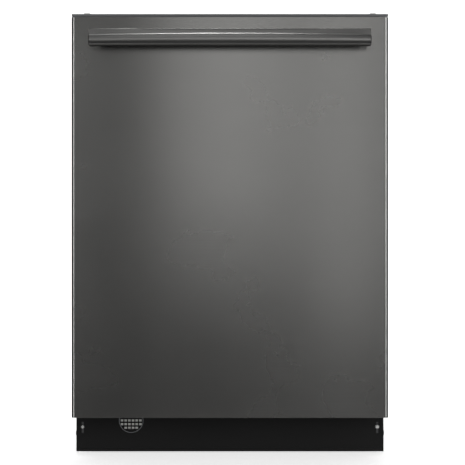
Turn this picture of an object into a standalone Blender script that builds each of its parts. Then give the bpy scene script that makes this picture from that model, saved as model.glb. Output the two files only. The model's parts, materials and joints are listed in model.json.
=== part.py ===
"""Built-in dishwasher, 24 inch class, with a full-width bar handle and hidden top controls.

Metres, +Z up, +X to the right and +Y to the back as someone in front of it sees it. The origin is
on the floor, in the middle of the overall box. Every moving piece has its origin on its joint.
"""

import math

import bmesh
import bpy
from mathutils import Matrix, Vector

# ---------------------------------------------------------------- driving sizes
WIDTH = 0.606  # door, the widest piece
HEIGHT = 0.852  # floor to the top of the door
DEPTH = 0.635  # front of the handle to the back of the sound blanket
TOUCH = 0.0004  # gap left between two pieces that touch
RUNNING = 0.0005  # gap round a piece that turns or slides in another
WALL = 0.0008  # sheet steel
PLASTIC = 0.0025  # moulded wall

# door
HANDLE_REACH = 0.046
DOOR_THICKNESS = 0.050
DOOR_BOTTOM = 0.0787
SKIN_FOLD = 0.030
SKIN_HEM = 0.008
SKIN_RADIUS = 0.0045
LINER_INSET = 0.0125
INSULATION = 0.014
CONSOLE_HEIGHT = 0.037
CONSOLE_LIP = 0.0042
LIP_GAP = 0.0016
DOOR_ANGLE = math.radians(90)

# hinge and counterbalance
HINGE_Z = 0.105
HINGE_TO_LINER = 0.030
PIN_RADIUS = 0.004
LEVER = 0.028
ARM_HEIGHT = 0.16
ROD_RADIUS = 0.003
SPRING_LENGTH = 0.165
SPRING_RADIUS = 0.0075
SPRING_WIRE = 0.0012
SPRING_TURNS = 9

# handle
HANDLE_LENGTH = 0.535
HANDLE_Z = 0.800
HANDLE_HEIGHT = 0.026
HANDLE_DEPTH = 0.019
HANDLE_LIP = 0.0075
HANDLE_LIP_DEPTH = 0.007
POST_WIDTH = 0.026
POST_HEIGHT = 0.018
POST_INSET = 0.030

# tub and what holds it
DOOR_TUB_GAP = 0.006
SIDE_SPACE = 0.030
TUB_FLOOR = 0.140
TUB_TOP_SPACE = 0.024
TUB_FLANGE = 0.010
BLANKET = 0.010
FRAME_THICKNESS = 0.012
BRACKET_RISE = 0.010
BRACKET_WIDTH = 0.0115
BRACKET_INSET = 0.024
GASKET_WIDTH = 0.008

# base
BASE_INSET = 0.009
BASE_BOTTOM = 0.024
BASE_TOP = 0.118
BASE_WALL = 0.003
KICK_WIDTH_INSET = 0.0015
KICK_RECESS = 0.075
KICK_BOTTOM = 0.004
KICK_TOP = 0.084
VENT_X = -0.1938
VENT_Z = 0.0646
VENT_RADIUS = 0.0226
VENT_PITCH = 0.0072
VENT_HOLE = (0.0050, 0.0042)
FOOT_RADIUS = 0.017
FOOT_HEIGHT = 0.010
STEM_RADIUS = 0.005
STEM_TOP = 0.078
BOSS_RADIUS = 0.012
FOOT_INSET_X = 0.034
FOOT_INSET_Y = 0.045

# water system
ARM_WALL_GAP = 0.046
LOWER_ARM_Z = 0.160
ARM_HEIGHT_Z = 0.015
ARM_HALF_WIDTH = 0.021
HUB_RADIUS = 0.016
FILTER_X = 0.070
FILTER_Y = -0.020
FILTER_RADIUS = 0.034
SUMP_MARGIN = 0.010
SUMP_BOTTOM = 0.066
HEATER_RADIUS = 0.0035
HEATER_Z = 0.1475
HEATER_X = 0.180
FLOAT_RADIUS = 0.019
FLOAT_TRAVEL = 0.012

# racks
RACK_FRONT_GAP = 0.018
RACK_BACK_GAP = 0.034
RACK_SIDE_GAP = 0.036
LOWER_RACK_Z = 0.188
LOWER_RACK_HEIGHT = 0.225
UPPER_RACK_Z = 0.500
UPPER_RACK_HEIGHT = 0.135
RACK_WIRE = 0.005
LOWER_RACK_CELLS = (5, 2)
UPPER_RACK_CELLS = (3, 1)
WHEEL_RADIUS = 0.017
WHEEL_WIDTH = 0.009
AXLE_RADIUS = 0.0035
WHEEL_FROM_FRONT = 0.075
WHEEL_FROM_BACK = 0.070
RAIL_Z = 0.600
RAIL_HEIGHT = 0.024
RAIL_LENGTH = 0.440
TINE_HEIGHT = 0.085
TINE_ROD = 0.0028
TINE_COUNT = 9

# ---------------------------------------------------------------- places that follow from them
DOOR_Y = -DEPTH / 2 + HANDLE_REACH  # front face of the door skin
LINER_Y = DOOR_Y + DOOR_THICKNESS  # back face of the door liner
TUB_Y = LINER_Y + DOOR_TUB_GAP  # front face of the tub flange
TUB_BACK = DEPTH / 2 - BLANKET - TOUCH - WALL  # inner face of the back wall
TUB_X = WIDTH / 2 - SIDE_SPACE  # inner face of a side wall
TUB_TOP = HEIGHT - TUB_TOP_SPACE  # inner face of the ceiling
TUB_MID_Y = (TUB_Y + TUB_BACK) / 2
BLANKET_X = TUB_X + WALL + TOUCH + BLANKET
BLANKET_TOP = TUB_TOP + WALL + TOUCH + BLANKET
BASE_X = WIDTH / 2 - BASE_INSET
PLATE_OUTER = BASE_X - BASE_WALL - TOUCH  # hinge plate, inside the base's side wall
ARM_OUTER = PLATE_OUTER - 0.002 - 0.0008
ARM_INNER = ARM_OUTER - 0.003
ROD_X = ARM_INNER - 0.0008 - 0.0045
KICK_Y = DOOR_Y + KICK_RECESS
BASE_Y = KICK_Y + WALL + TOUCH
SEAT_Y = BASE_Y + 0.030  # back face of the spring seat
BASE_BACK = DEPTH / 2 - BLANKET
HINGE_Y = LINER_Y - HINGE_TO_LINER
SKIN_TOP = HEIGHT - CONSOLE_LIP - LIP_GAP
CONSOLE_BOTTOM = HEIGHT - CONSOLE_HEIGHT
ARM_REACH = min(TUB_X, (TUB_BACK - TUB_Y) / 2) - ARM_WALL_GAP
RACK_X = TUB_X - RACK_SIDE_GAP
RACK_Y = LINER_Y + RACK_FRONT_GAP
RACK_BACK = TUB_BACK - RACK_BACK_GAP
UPPER_ARM_Z = UPPER_RACK_Z - 0.036
UPPER_FEED_Z = UPPER_RACK_Z - 0.010
JOURNAL_RADIUS = 0.006
STRIKE_Z = TUB_TOP + WALL + 0.004
LATCH_Y = LINER_Y - 0.027
MID_OUTER = TUB_X - TOUCH - WALL - RUNNING  # outer face of an upper rack's middle slide


# ---------------------------------------------------------------- materials
def make_material(name, colour, roughness, metallic):
    material = bpy.data.materials.new(name)
    material.use_nodes = True
    shader = material.node_tree.nodes["Principled BSDF"]
    shader.inputs["Base Color"].default_value = (*colour, 1)
    shader.inputs["Roughness"].default_value = roughness
    shader.inputs["Metallic"].default_value = metallic
    return material


def make_materials():
    return {
        "black_steel": make_material("black_steel", (0.16, 0.16, 0.16), 0.35, 1),
        "black_handle": make_material("black_handle", (0.16, 0.16, 0.16), 0.3, 1),
        "stainless": make_material("stainless", (0.62, 0.62, 0.61), 0.3, 1),
        "zinc_steel": make_material("zinc_steel", (0.55, 0.56, 0.55), 0.45, 1),
        "black_paint": make_material("black_paint", (0.02, 0.02, 0.02), 0.5, 0),
        "dark_plastic": make_material("dark_plastic", (0.05, 0.05, 0.055), 0.5, 0),
        "grey_plastic": make_material("grey_plastic", (0.3, 0.31, 0.32), 0.5, 0),
        "light_plastic": make_material("light_plastic", (0.7, 0.7, 0.68), 0.5, 0),
        "rack_coat": make_material("rack_coat", (0.35, 0.37, 0.4), 0.45, 0),
        "seal_rubber": make_material("seal_rubber", (0.07, 0.07, 0.07), 0.8, 0),
        "felt": make_material("felt", (0.25, 0.25, 0.26), 0.95, 0),
    }


# ---------------------------------------------------------------- building blocks
def place(name, mesh, material, at=(0, 0, 0)):
    piece = bpy.data.objects.new(name, mesh)
    piece.location = at
    if material:
        mesh.materials.append(material)
    bpy.context.scene.collection.objects.link(piece)
    return piece


def mesh_from(shape, name):
    bmesh.ops.remove_doubles(shape, verts=shape.verts, dist=1e-6)
    bmesh.ops.recalc_face_normals(shape, faces=shape.faces)
    mesh = bpy.data.meshes.new(name)
    shape.to_mesh(mesh)
    shape.free()
    return mesh


def helper(piece):
    """Marks a cutter or a shape that is joined into another, so that it isn't a piece itself."""
    piece.hide_render = True
    piece.display_type = "WIRE"
    return piece


def box(name, low, high, material=None, at=(0, 0, 0)):
    """A block from corner low to corner high, in world places, with its origin at the point at."""
    shape = bmesh.new()
    bmesh.ops.create_cube(shape, size=1)
    low, high, at = Vector(low), Vector(high), Vector(at)
    size = high - low
    bmesh.ops.scale(shape, vec=size, verts=shape.verts)
    bmesh.ops.translate(shape, vec=(low + high) / 2 - at, verts=shape.verts)
    return place(name, mesh_from(shape, name), material, at)


def rod(name, radius, start, end, material=None, at=(0, 0, 0), sides=16, end_radius=None):
    """A round bar, or a cone with end_radius, between two points in world places."""
    start, end, at = Vector(start), Vector(end), Vector(at)
    along = end - start
    shape = bmesh.new()
    top = radius if end_radius is None else end_radius
    bmesh.ops.create_cone(
        shape, cap_ends=True, segments=sides, radius1=radius, radius2=top, depth=along.length
    )
    turn = along.to_track_quat("Z", "Y").to_matrix().to_4x4()
    move = Matrix.Translation((start + end) / 2 - at)
    bmesh.ops.transform(shape, matrix=move @ turn, verts=shape.verts)
    piece = place(name, mesh_from(shape, name), material, at)
    piece.data.shade_smooth()
    piece.data.set_sharp_from_angle(angle=math.radians(40))
    return piece


def extrusion(name, outline, axis, low, high, material=None, at=(0, 0, 0)):
    """A flat outline pushed from low to high along axis. The outline is in the two other axes."""
    at = Vector(at)
    order = {"X": (1, 2, 0), "Y": (0, 2, 1), "Z": (0, 1, 2)}[axis]
    shape = bmesh.new()
    corners = []
    for first, second in outline:
        point = [0, 0, 0]
        point[order[0]], point[order[1]], point[order[2]] = first, second, low
        corners.append(shape.verts.new(Vector(point) - at))
    face = shape.faces.new(corners)
    pushed = bmesh.ops.extrude_face_region(shape, geom=[face])
    moved = [item for item in pushed["geom"] if isinstance(item, bmesh.types.BMVert)]
    push = [0, 0, 0]
    push[order[2]] = high - low
    bmesh.ops.translate(shape, vec=push, verts=moved)
    return place(name, mesh_from(shape, name), material, at)


def round_corners(low, high, radius, steps=4):
    """Points of a rectangle from low to high with round corners."""
    points = []
    middles = (
        (high[0] - radius, high[1] - radius),
        (low[0] + radius, high[1] - radius),
        (low[0] + radius, low[1] + radius),
        (high[0] - radius, low[1] + radius),
    )
    for quarter, (x, y) in enumerate(middles):
        for step in range(steps + 1):
            angle = math.pi / 2 * (quarter + step / steps)
            points.append((x + radius * math.cos(angle), y + radius * math.sin(angle)))
    return points


def combine(piece, others, operation):
    """Adds one Boolean for each helper in others."""
    for other in others:
        modifier = piece.modifiers.new(other.name, "BOOLEAN")
        modifier.operation = operation
        modifier.solver = "EXACT"
        modifier.object = helper(other)
    return piece


def join(piece, *others):
    return combine(piece, others, "UNION")


def cut(piece, *others):
    return combine(piece, others, "DIFFERENCE")


def wire(name, points, radius, material, cyclic=False, sides=2, at=(0, 0, 0)):
    """A round wire or tube along points, with filled ends."""
    curve = bpy.data.curves.new(name, "CURVE")
    curve.dimensions = "3D"
    curve.bevel_depth = radius
    curve.bevel_resolution = sides
    curve.use_fill_caps = True
    spline = curve.splines.new("POLY")
    spline.points.add(len(points) - 1)
    for point, place_at in zip(spline.points, points):
        point.co = (*(Vector(place_at) - Vector(at)), 1)
    spline.use_cyclic_u = cyclic
    piece = bpy.data.objects.new(name, curve)
    piece.location = at
    if material:
        curve.materials.append(material)
    bpy.context.scene.collection.objects.link(piece)
    return piece


def both_sides():
    """The two sides of the machine: a name and the sign of X."""
    return (("left", -1), ("right", 1))


def side_box(name, side, inner, outer, low, high, material=None, at=(0, 0, 0)):
    """A block on one side: inner and outer are distances from the middle, low and high are (y, z)."""
    near, far = sorted((side * inner, side * outer))
    return box(name, (near, *low), (far, *high), material, at)


# ---------------------------------------------------------------- door
def door_skin(paint):
    """The steel face, folded back round its upright sides, with a hem along the bottom."""
    half = WIDTH / 2
    back = DOOR_Y + SKIN_FOLD
    outline = [(-half, back)]
    for side in (-1, 1):
        for step in range(6):
            angle = math.pi / 2 * (step / 5 if side < 0 else 1 - step / 5)
            x = side * (half - SKIN_RADIUS + SKIN_RADIUS * math.cos(angle))
            outline.append((x, DOOR_Y + SKIN_RADIUS - SKIN_RADIUS * math.sin(angle)))
    outline.append((half, back))
    skin = extrusion("door_skin", outline, "Z", DOOR_BOTTOM, SKIN_TOP, paint["black_steel"])
    hollow = box(
        "skin_hollow",
        (-half + WALL, DOOR_Y + WALL, DOOR_BOTTOM + WALL),
        (half - WALL, back + 0.01, SKIN_TOP + 0.01),
    )
    below = box(
        "skin_below",
        (-half + WALL, DOOR_Y + SKIN_HEM, DOOR_BOTTOM - 0.01),
        (half - WALL, back + 0.01, DOOR_BOTTOM + 0.01),
    )
    return cut(skin, hollow, below)


def door_liner(paint):
    """The stainless inner panel, notched at its lower corners for the hinges and open for the dispenser."""
    half = WIDTH / 2 - LINER_INSET
    notch_x, notch_z = ROD_X - 0.0055, HINGE_Z + 0.026
    low, top = DOOR_BOTTOM + 0.004, CONSOLE_BOTTOM - TOUCH
    outline = [
        (-notch_x, low), (notch_x, low), (notch_x, notch_z), (half, notch_z),
        (half, top), (-half, top), (-half, notch_z), (-notch_x, notch_z),
    ]
    liner = extrusion("door_liner", outline, "Y", LINER_Y - WALL, LINER_Y, paint["stainless"])
    for name, side in both_sides():
        inner, outer = half - WALL, half
        fold = side_box(
            f"liner_fold_{name}", side, inner, outer,
            (LINER_Y - 0.014, notch_z), (LINER_Y - WALL / 2, top),
        )
        join(liner, fold)
    (x0, z0), (x1, z1) = dispenser_body()
    opening = box(
        "liner_opening",
        (x0 - TOUCH, LINER_Y - 0.01, z0 - TOUCH),
        (x1 + TOUCH, LINER_Y + 0.01, z1 + TOUCH),
    )
    return cut(liner, opening)


BUTTON_SIZE = (0.024, 0.011)
BUTTON_TRAVEL = 0.0012
BUTTON_PROUD = 0.0008
BUTTON_DEPTH = 0.006
BUTTON_PLACES = {
    "power_button": -0.235, "cycle_button": -0.150, "delay_button": 0.150, "start_button": 0.235,
}
DISPLAY_X = 0.070
DISPLAY_SIZE = (0.062, 0.014)


def console_middle():
    return DOOR_Y + DOOR_THICKNESS * 0.45


def control_console(paint):
    """The plastic top of the door, with the control keys on its upper face and the latch pocket behind."""
    half = WIDTH / 2 - WALL - TOUCH
    console = box(
        "control_console",
        (-half, DOOR_Y + WALL + TOUCH, CONSOLE_BOTTOM),
        (half, LINER_Y, HEIGHT),
        paint["grey_plastic"],
    )
    lip = box(
        "console_lip",
        (-WIDTH / 2, DOOR_Y, HEIGHT - CONSOLE_LIP),
        (WIDTH / 2, LINER_Y - 0.004, HEIGHT),
    )
    join(console, lip)
    underside = box(
        "console_hollow",
        (-half + PLASTIC, DOOR_Y + WALL + PLASTIC, CONSOLE_BOTTOM - 0.01),
        (half - PLASTIC, LINER_Y - PLASTIC, HEIGHT - 0.014),
    )
    pocket = box(
        "latch_pocket",
        (-LATCH_HALF - 0.006, LATCH_Y - 0.008, STRIKE_Z - 0.018),
        (LATCH_HALF + 0.006, LINER_Y + 0.01, STRIKE_Z + 0.006),
    )
    cut(console, underside, pocket)
    for name, x in BUTTON_PLACES.items():
        width, depth = (size / 2 + RUNNING for size in BUTTON_SIZE)
        hole = box(
            f"{name}_hole",
            (x - width, console_middle() - depth, HEIGHT - 0.010),
            (x + width, console_middle() + depth, HEIGHT + 0.01),
        )
        cut(console, hole)
    width, depth = (size / 2 for size in DISPLAY_SIZE)
    window = box(
        "display_recess",
        (DISPLAY_X - width - TOUCH, console_middle() - depth - TOUCH, HEIGHT - 0.0025),
        (DISPLAY_X + width + TOUCH, console_middle() + depth + TOUCH, HEIGHT + 0.01),
    )
    cut(console, window)
    box(
        "control_display",
        (DISPLAY_X - width, console_middle() - depth, HEIGHT - 0.0021),
        (DISPLAY_X + width, console_middle() + depth, HEIGHT),
        paint["dark_plastic"],
    )
    return console


def push_buttons(paint):
    for name, x in BUTTON_PLACES.items():
        width, depth = (size / 2 for size in BUTTON_SIZE)
        origin = (x, console_middle(), HEIGHT)
        box(
            name,
            (x - width, console_middle() - depth, HEIGHT - BUTTON_DEPTH),
            (x + width, console_middle() + depth, HEIGHT + BUTTON_PROUD),
            paint["dark_plastic"],
            origin,
        )


LATCH_HALF = 0.013


def latch(paint):
    """The strike plate on the frame, and the catch in the door whose nose turns up into the strike."""
    strike = box(
        "latch_strike",
        (-LATCH_HALF, LATCH_Y + 0.004, STRIKE_Z),
        (LATCH_HALF, TUB_Y - TOUCH, STRIKE_Z + 0.002),
        paint["zinc_steel"],
    )
    foot = box(
        "strike_foot",
        (-LATCH_HALF, TUB_Y - TOUCH - 0.002, STRIKE_Z),
        (LATCH_HALF, TUB_Y - TOUCH, TUB_TOP + TUB_FLANGE),
    )
    window = box(
        "strike_window",
        (-0.007, LATCH_Y + 0.0095, STRIKE_Z - 0.01),
        (0.007, LATCH_Y + 0.0185, STRIKE_Z + 0.01),
    )
    join(strike, foot)
    cut(strike, window)
    origin = (0, LATCH_Y, STRIKE_Z - 0.006)
    catch = box(
        "latch_catch",
        (-0.005, LATCH_Y - 0.003, STRIKE_Z - 0.009),
        (0.005, LATCH_Y + 0.016, STRIKE_Z - 0.0045),
        paint["dark_plastic"],
        origin,
    )
    nose = box(
        "catch_nose",
        (-0.005, LATCH_Y + 0.012, STRIKE_Z - 0.006),
        (0.005, LATCH_Y + 0.016, STRIKE_Z - 0.0006),
    )
    pivot = rod(
        "catch_pivot", 0.0025,
        (-LATCH_HALF - 0.0055, LATCH_Y, STRIKE_Z - 0.006),
        (LATCH_HALF + 0.0055, LATCH_Y, STRIKE_Z - 0.006), sides=10,
    )
    join(catch, nose, pivot)


def handle(paint):
    """The bar is an extrusion: a full front and a thinner lip that stands above it at the back."""
    front = -DEPTH / 2
    low, high = HANDLE_Z - HANDLE_HEIGHT / 2, HANDLE_Z + HANDLE_HEIGHT / 2
    outline = []
    radius = HANDLE_HEIGHT / 2
    for step in range(9):
        angle = math.pi / 2 + math.pi * step / 8
        outline.append((front + 0.010 + 0.010 * math.cos(angle), HANDLE_Z + radius * math.sin(angle)))
    outline.append((front + HANDLE_DEPTH - 0.003, low))
    outline.append((front + HANDLE_DEPTH, low + 0.003))
    outline.append((front + HANDLE_DEPTH, high + HANDLE_LIP))
    outline.append((front + HANDLE_DEPTH - HANDLE_LIP_DEPTH + 0.001, high + HANDLE_LIP))
    outline.append((front + HANDLE_DEPTH - HANDLE_LIP_DEPTH, high + HANDLE_LIP - 0.0015))
    outline.append((front + HANDLE_DEPTH - HANDLE_LIP_DEPTH, high))
    half = HANDLE_LENGTH / 2
    bar = extrusion("handle_bar", outline, "X", -half, half, paint["black_handle"])
    for name, side in both_sides():
        outer = half - POST_INSET
        post = side_box(
            f"handle_post_{name}", side, outer - POST_WIDTH, outer,
            (front + HANDLE_DEPTH - 0.002, HANDLE_Z - POST_HEIGHT / 2),
            (DOOR_Y - TOUCH, HANDLE_Z + POST_HEIGHT / 2),
        )
        join(bar, post)
    return bar


DISPENSER_Z = 0.455
DISPENSER_SIZE = (0.185, 0.170)
DISPENSER_FLANGE = 0.006
DISPENSER_PROUD = 0.004
CUP_SIZE = (0.078, 0.064)
CUP_X = -0.040
CUP_DROP = 0.038
LID_OVERLAP = 0.005
LID_THICKNESS = 0.0028
LID_TRAVEL = 0.066
CAP_RADIUS = 0.020
CAP_X = 0.056


def dispenser_body():
    """Low and high corner (x, z) of the dispenser behind its flange."""
    x = DISPENSER_SIZE[0] / 2 - DISPENSER_FLANGE
    z = DISPENSER_SIZE[1] / 2 - DISPENSER_FLANGE
    return (-x, DISPENSER_Z - z), (x, DISPENSER_Z + z)


def dispenser(paint):
    """The housing on the liner with the detergent cup, the guides of its lid and the rinse-aid filler."""
    half_x, half_z = (size / 2 for size in DISPENSER_SIZE)
    flange_y = LINER_Y + TOUCH
    face = flange_y + DISPENSER_PROUD
    housing = box(
        "dispenser_housing",
        (-half_x, flange_y, DISPENSER_Z - half_z),
        (half_x, face, DISPENSER_Z + half_z),
        paint["grey_plastic"],
    )
    (x0, z0), (x1, z1) = dispenser_body()
    body = box("dispenser_body", (x0, LINER_Y - 0.030, z0), (x1, flange_y + 0.001, z1))
    cup_x, cup_z = (size / 2 for size in CUP_SIZE)
    cup_middle = DISPENSER_Z - CUP_DROP
    cup = box(
        "dispenser_cup",
        (CUP_X - cup_x, LINER_Y - 0.026, cup_middle - cup_z),
        (CUP_X + cup_x, face + 0.01, cup_middle + cup_z),
    )
    filler = rod(
        "cap_bore", CAP_RADIUS + RUNNING,
        (CAP_X, face - 0.003, DISPENSER_Z), (CAP_X, face + 0.02, DISPENSER_Z), sides=24,
    )
    join(housing, body)
    cut(housing, cup, filler)
    lid_x, lid_z = cup_x + LID_OVERLAP, cup_z + LID_OVERLAP
    for name, sign in (("inner", 1), ("outer", -1)):
        edge = CUP_X + sign * (lid_x + RUNNING)
        near, far = sorted((edge, edge + sign * 0.004))
        guide = box(
            f"lid_guide_{name}",
            (near, face - 0.001, DISPENSER_Z - half_z + 0.002),
            (far, face + LID_THICKNESS + 0.002, DISPENSER_Z + half_z - 0.002),
        )
        join(housing, guide)
    dispenser_lid(paint, face, cup_middle, lid_x, lid_z)
    rinse_cap(paint, face)


def dispenser_lid(paint, face, middle, lid_x, lid_z):
    """The cover that slides up off the detergent cup, with its finger ledge."""
    lid = box(
        "dispenser_lid",
        (CUP_X - lid_x, face + TOUCH, middle - lid_z),
        (CUP_X + lid_x, face + TOUCH + LID_THICKNESS, middle + lid_z),
        paint["grey_plastic"],
        (CUP_X, face, middle),
    )
    ledge = box(
        "lid_ledge",
        (CUP_X - 0.018, face + LID_THICKNESS, middle - lid_z + 0.008),
        (CUP_X + 0.018, face + LID_THICKNESS + 0.004, middle - lid_z + 0.012),
    )
    return join(lid, ledge)


def rinse_cap(paint, face):
    """The rinse-aid cap, turned by the wing across it."""
    cap = rod(
        "rinse_cap", CAP_RADIUS,
        (CAP_X, face - 0.0025, DISPENSER_Z), (CAP_X, face + 0.003, DISPENSER_Z),
        paint["dark_plastic"], (CAP_X, face, DISPENSER_Z), sides=24,
    )
    wing = box(
        "cap_wing",
        (CAP_X - 0.002, face + 0.002, DISPENSER_Z - 0.015),
        (CAP_X + 0.002, face + 0.008, DISPENSER_Z + 0.015),
    )
    return join(cap, wing)


def door_insulation(paint):
    """The felt pad on the back of the skin."""
    half = ARM_INNER - 0.006
    front = DOOR_Y + WALL + TOUCH
    return box(
        "door_insulation",
        (-half, front, HINGE_Z + 0.030),
        (half, front + INSULATION, CONSOLE_BOTTOM - 0.004),
        paint["felt"],
    )


# ---------------------------------------------------------------- hinges and counterbalance
def hinges(paint):
    """On each side the arm in the door with its lever, and the rod and spring that balance it."""
    for name, side in both_sides():
        arm = side_box(
            f"hinge_arm_{name}", side, ARM_INNER, ARM_OUTER,
            (HINGE_Y - 0.009, HINGE_Z - 0.009), (HINGE_Y + 0.009, HINGE_Z + ARM_HEIGHT),
            paint["zinc_steel"], (0, HINGE_Y, HINGE_Z),
        )
        lever = side_box(
            f"hinge_lever_{name}", side, ARM_INNER, ARM_OUTER,
            (HINGE_Y, HINGE_Z - 0.006), (HINGE_Y + LEVER + 0.005, HINGE_Z + 0.006),
        )
        join(arm, lever)
        bore = rod(
            f"hinge_bore_{name}", PIN_RADIUS + RUNNING,
            (side * (ARM_INNER - 0.01), HINGE_Y, HINGE_Z),
            (side * (ARM_OUTER + 0.01), HINGE_Y, HINGE_Z),
        )
        cut(arm, bore)
        counterbalance(paint, name, side)


def counterbalance(paint, name, side):
    """The rod that the lever draws forward, and the spring that it squeezes against the base."""
    tip_y = HINGE_Y + LEVER
    yoke = side_box(
        f"spring_rod_{name}", side, ARM_INNER - 0.0008 - 0.0015, ARM_INNER - 0.0008,
        (tip_y - 0.006, HINGE_Z - 0.005), (tip_y + 0.006, HINGE_Z + 0.020),
        paint["zinc_steel"],
    )
    foot = side_box(
        f"rod_foot_{name}", side, ROD_X - ROD_RADIUS, ARM_INNER - 0.0010,
        (tip_y + 0.002, HINGE_Z - 0.004), (tip_y + 0.006, HINGE_Z + 0.004),
    )
    bar_end = SEAT_Y + SPRING_LENGTH
    bar = rod(
        f"rod_bar_{name}", ROD_RADIUS,
        (side * ROD_X, tip_y + 0.004, HINGE_Z), (side * ROD_X, bar_end + 0.006, HINGE_Z), sides=10,
    )
    collar = rod(
        f"rod_collar_{name}", SPRING_RADIUS + 0.001,
        (side * ROD_X, bar_end + TOUCH, HINGE_Z), (side * ROD_X, bar_end + 0.004, HINGE_Z), sides=12,
    )
    join(yoke, foot, bar, collar)
    points = []
    per_turn = 8
    middle = SPRING_RADIUS - SPRING_WIRE
    start = SEAT_Y + SPRING_WIRE + TOUCH
    length = SPRING_LENGTH - 2 * (SPRING_WIRE + TOUCH)
    for step in range(SPRING_TURNS * per_turn + 1):
        angle = 2 * math.pi * step / per_turn
        points.append((
            side * ROD_X + middle * math.cos(angle),
            start + length * step / (SPRING_TURNS * per_turn),
            HINGE_Z + middle * math.sin(angle),
        ))
    wire(f"door_spring_{name}", points, SPRING_WIRE, paint["zinc_steel"], sides=0)


# ---------------------------------------------------------------- tub, frame and jacket
def tub(paint):
    """One drawn stainless shell, open at the front, with an outward flange and a hole for the sump."""
    shell = box(
        "tub",
        (-TUB_X - WALL, TUB_Y, TUB_FLOOR - WALL),
        (TUB_X + WALL, TUB_BACK + WALL, TUB_TOP + WALL),
        paint["stainless"],
    )
    flange = box(
        "tub_flange",
        (-TUB_X - TUB_FLANGE, TUB_Y, TUB_FLOOR - TUB_FLANGE),
        (TUB_X + TUB_FLANGE, TUB_Y + WALL, TUB_TOP + TUB_FLANGE),
    )
    join(shell, flange)
    radius = 0.018
    outline = round_corners((-TUB_X, TUB_FLOOR), (TUB_X, TUB_TOP), radius, steps=3)
    hollow = extrusion("tub_hollow", outline, "Y", TUB_Y - 0.02, TUB_BACK)
    sump_hole = extrusion("tub_sump_hole", sump_outline(-0.004), "Z", TUB_FLOOR - 0.02, TUB_FLOOR + 0.02)
    float_hole = rod(
        "tub_float_hole", 0.0045,
        (*float_place(), TUB_FLOOR - 0.02), (*float_place(), TUB_FLOOR + 0.02), sides=12,
    )
    return cut(shell, hollow, sump_hole, float_hole)


def sound_blanket(paint):
    """The felt jacket over the top, sides and back of the tub."""
    inner_x = TUB_X + WALL + TOUCH
    front = TUB_Y + WALL + FRAME_THICKNESS + 2 * TOUCH
    jacket = box(
        "sound_blanket",
        (-inner_x - BLANKET, front, BASE_TOP + 0.004),
        (inner_x + BLANKET, DEPTH / 2, TUB_TOP + WALL + TOUCH + BLANKET),
        paint["felt"],
    )
    hollow = box(
        "blanket_hollow",
        (-inner_x, front - 0.02, BASE_TOP - 0.02),
        (inner_x, TUB_BACK + WALL + TOUCH, TUB_TOP + WALL + TOUCH),
    )
    return cut(jacket, hollow)


def front_frame(paint):
    """The steel ring behind the tub flange, with the plates that carry the hinge pins at its feet."""
    low_y = TUB_Y + WALL + TOUCH
    frame = box(
        "front_frame",
        (-BASE_X, low_y, BASE_TOP + TOUCH),
        (BASE_X, low_y + FRAME_THICKNESS, TUB_TOP + WALL + 0.010),
        paint["zinc_steel"],
    )
    opening = box(
        "frame_opening",
        (-TUB_X - WALL - TOUCH, low_y - 0.02, BASE_TOP - 0.02),
        (TUB_X + WALL + TOUCH, low_y + 0.04, TUB_TOP + WALL + TOUCH),
    )
    cut(frame, opening)
    for name, side in both_sides():
        plate = side_box(
            f"hinge_plate_{name}", side, PLATE_OUTER - 0.002, PLATE_OUTER,
            (HINGE_Y - 0.009, HINGE_Z - 0.009), (low_y + FRAME_THICKNESS, HINGE_Z + 0.009),
        )
        web = side_box(
            f"hinge_web_{name}", side, PLATE_OUTER - 0.002, PLATE_OUTER,
            (TUB_Y - 0.004, HINGE_Z), (low_y + FRAME_THICKNESS, BASE_TOP + 0.030),
        )
        pin = rod(
            f"hinge_pin_{name}", PIN_RADIUS,
            (side * (ARM_INNER - 0.0002), HINGE_Y, HINGE_Z),
            (side * (PLATE_OUTER - 0.001), HINGE_Y, HINGE_Z),
        )
        join(frame, plate, web, pin)
    return frame


def mounting_brackets(paint):
    """The two steel tabs that are screwed to the underside of the worktop."""
    frame_top = TUB_TOP + WALL + 0.010
    low_y = TUB_Y + WALL + TOUCH
    for name, side in both_sides():
        inner = WIDTH / 2 - BRACKET_INSET - BRACKET_WIDTH / 2
        outer = inner + BRACKET_WIDTH
        tab = side_box(
            f"mounting_bracket_{name}", side, inner, outer,
            (low_y, frame_top + TOUCH), (low_y + 0.0015, HEIGHT + BRACKET_RISE),
            paint["zinc_steel"],
        )
        foot = side_box(
            f"bracket_foot_{name}", side, inner, outer,
            (low_y, frame_top + TOUCH), (low_y + FRAME_THICKNESS, frame_top + TOUCH + 0.0015),
        )
        top = side_box(
            f"bracket_top_{name}", side, inner, outer,
            (low_y, HEIGHT + BRACKET_RISE - 0.0015), (low_y + 0.028, HEIGHT + BRACKET_RISE),
        )
        join(tab, foot, top)


def door_gasket(paint):
    """The rubber seal on the two sides and the top of the tub's mouth."""
    low, high = TUB_X + 0.001, TUB_X + 0.001 + GASKET_WIDTH
    top_low, top_high = TUB_TOP - 0.0035, TUB_TOP - 0.0035 + GASKET_WIDTH
    near, far = LINER_Y + 0.0005, TUB_Y - 0.0005
    strip = box("door_gasket", (-high, near, top_low), (high, far, top_high), paint["seal_rubber"])
    for name, side in both_sides():
        leg = side_box(
            f"gasket_leg_{name}", side, low, high,
            (near, TUB_FLOOR + 0.002), (far, top_high),
        )
        join(strip, leg)
    return strip


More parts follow.
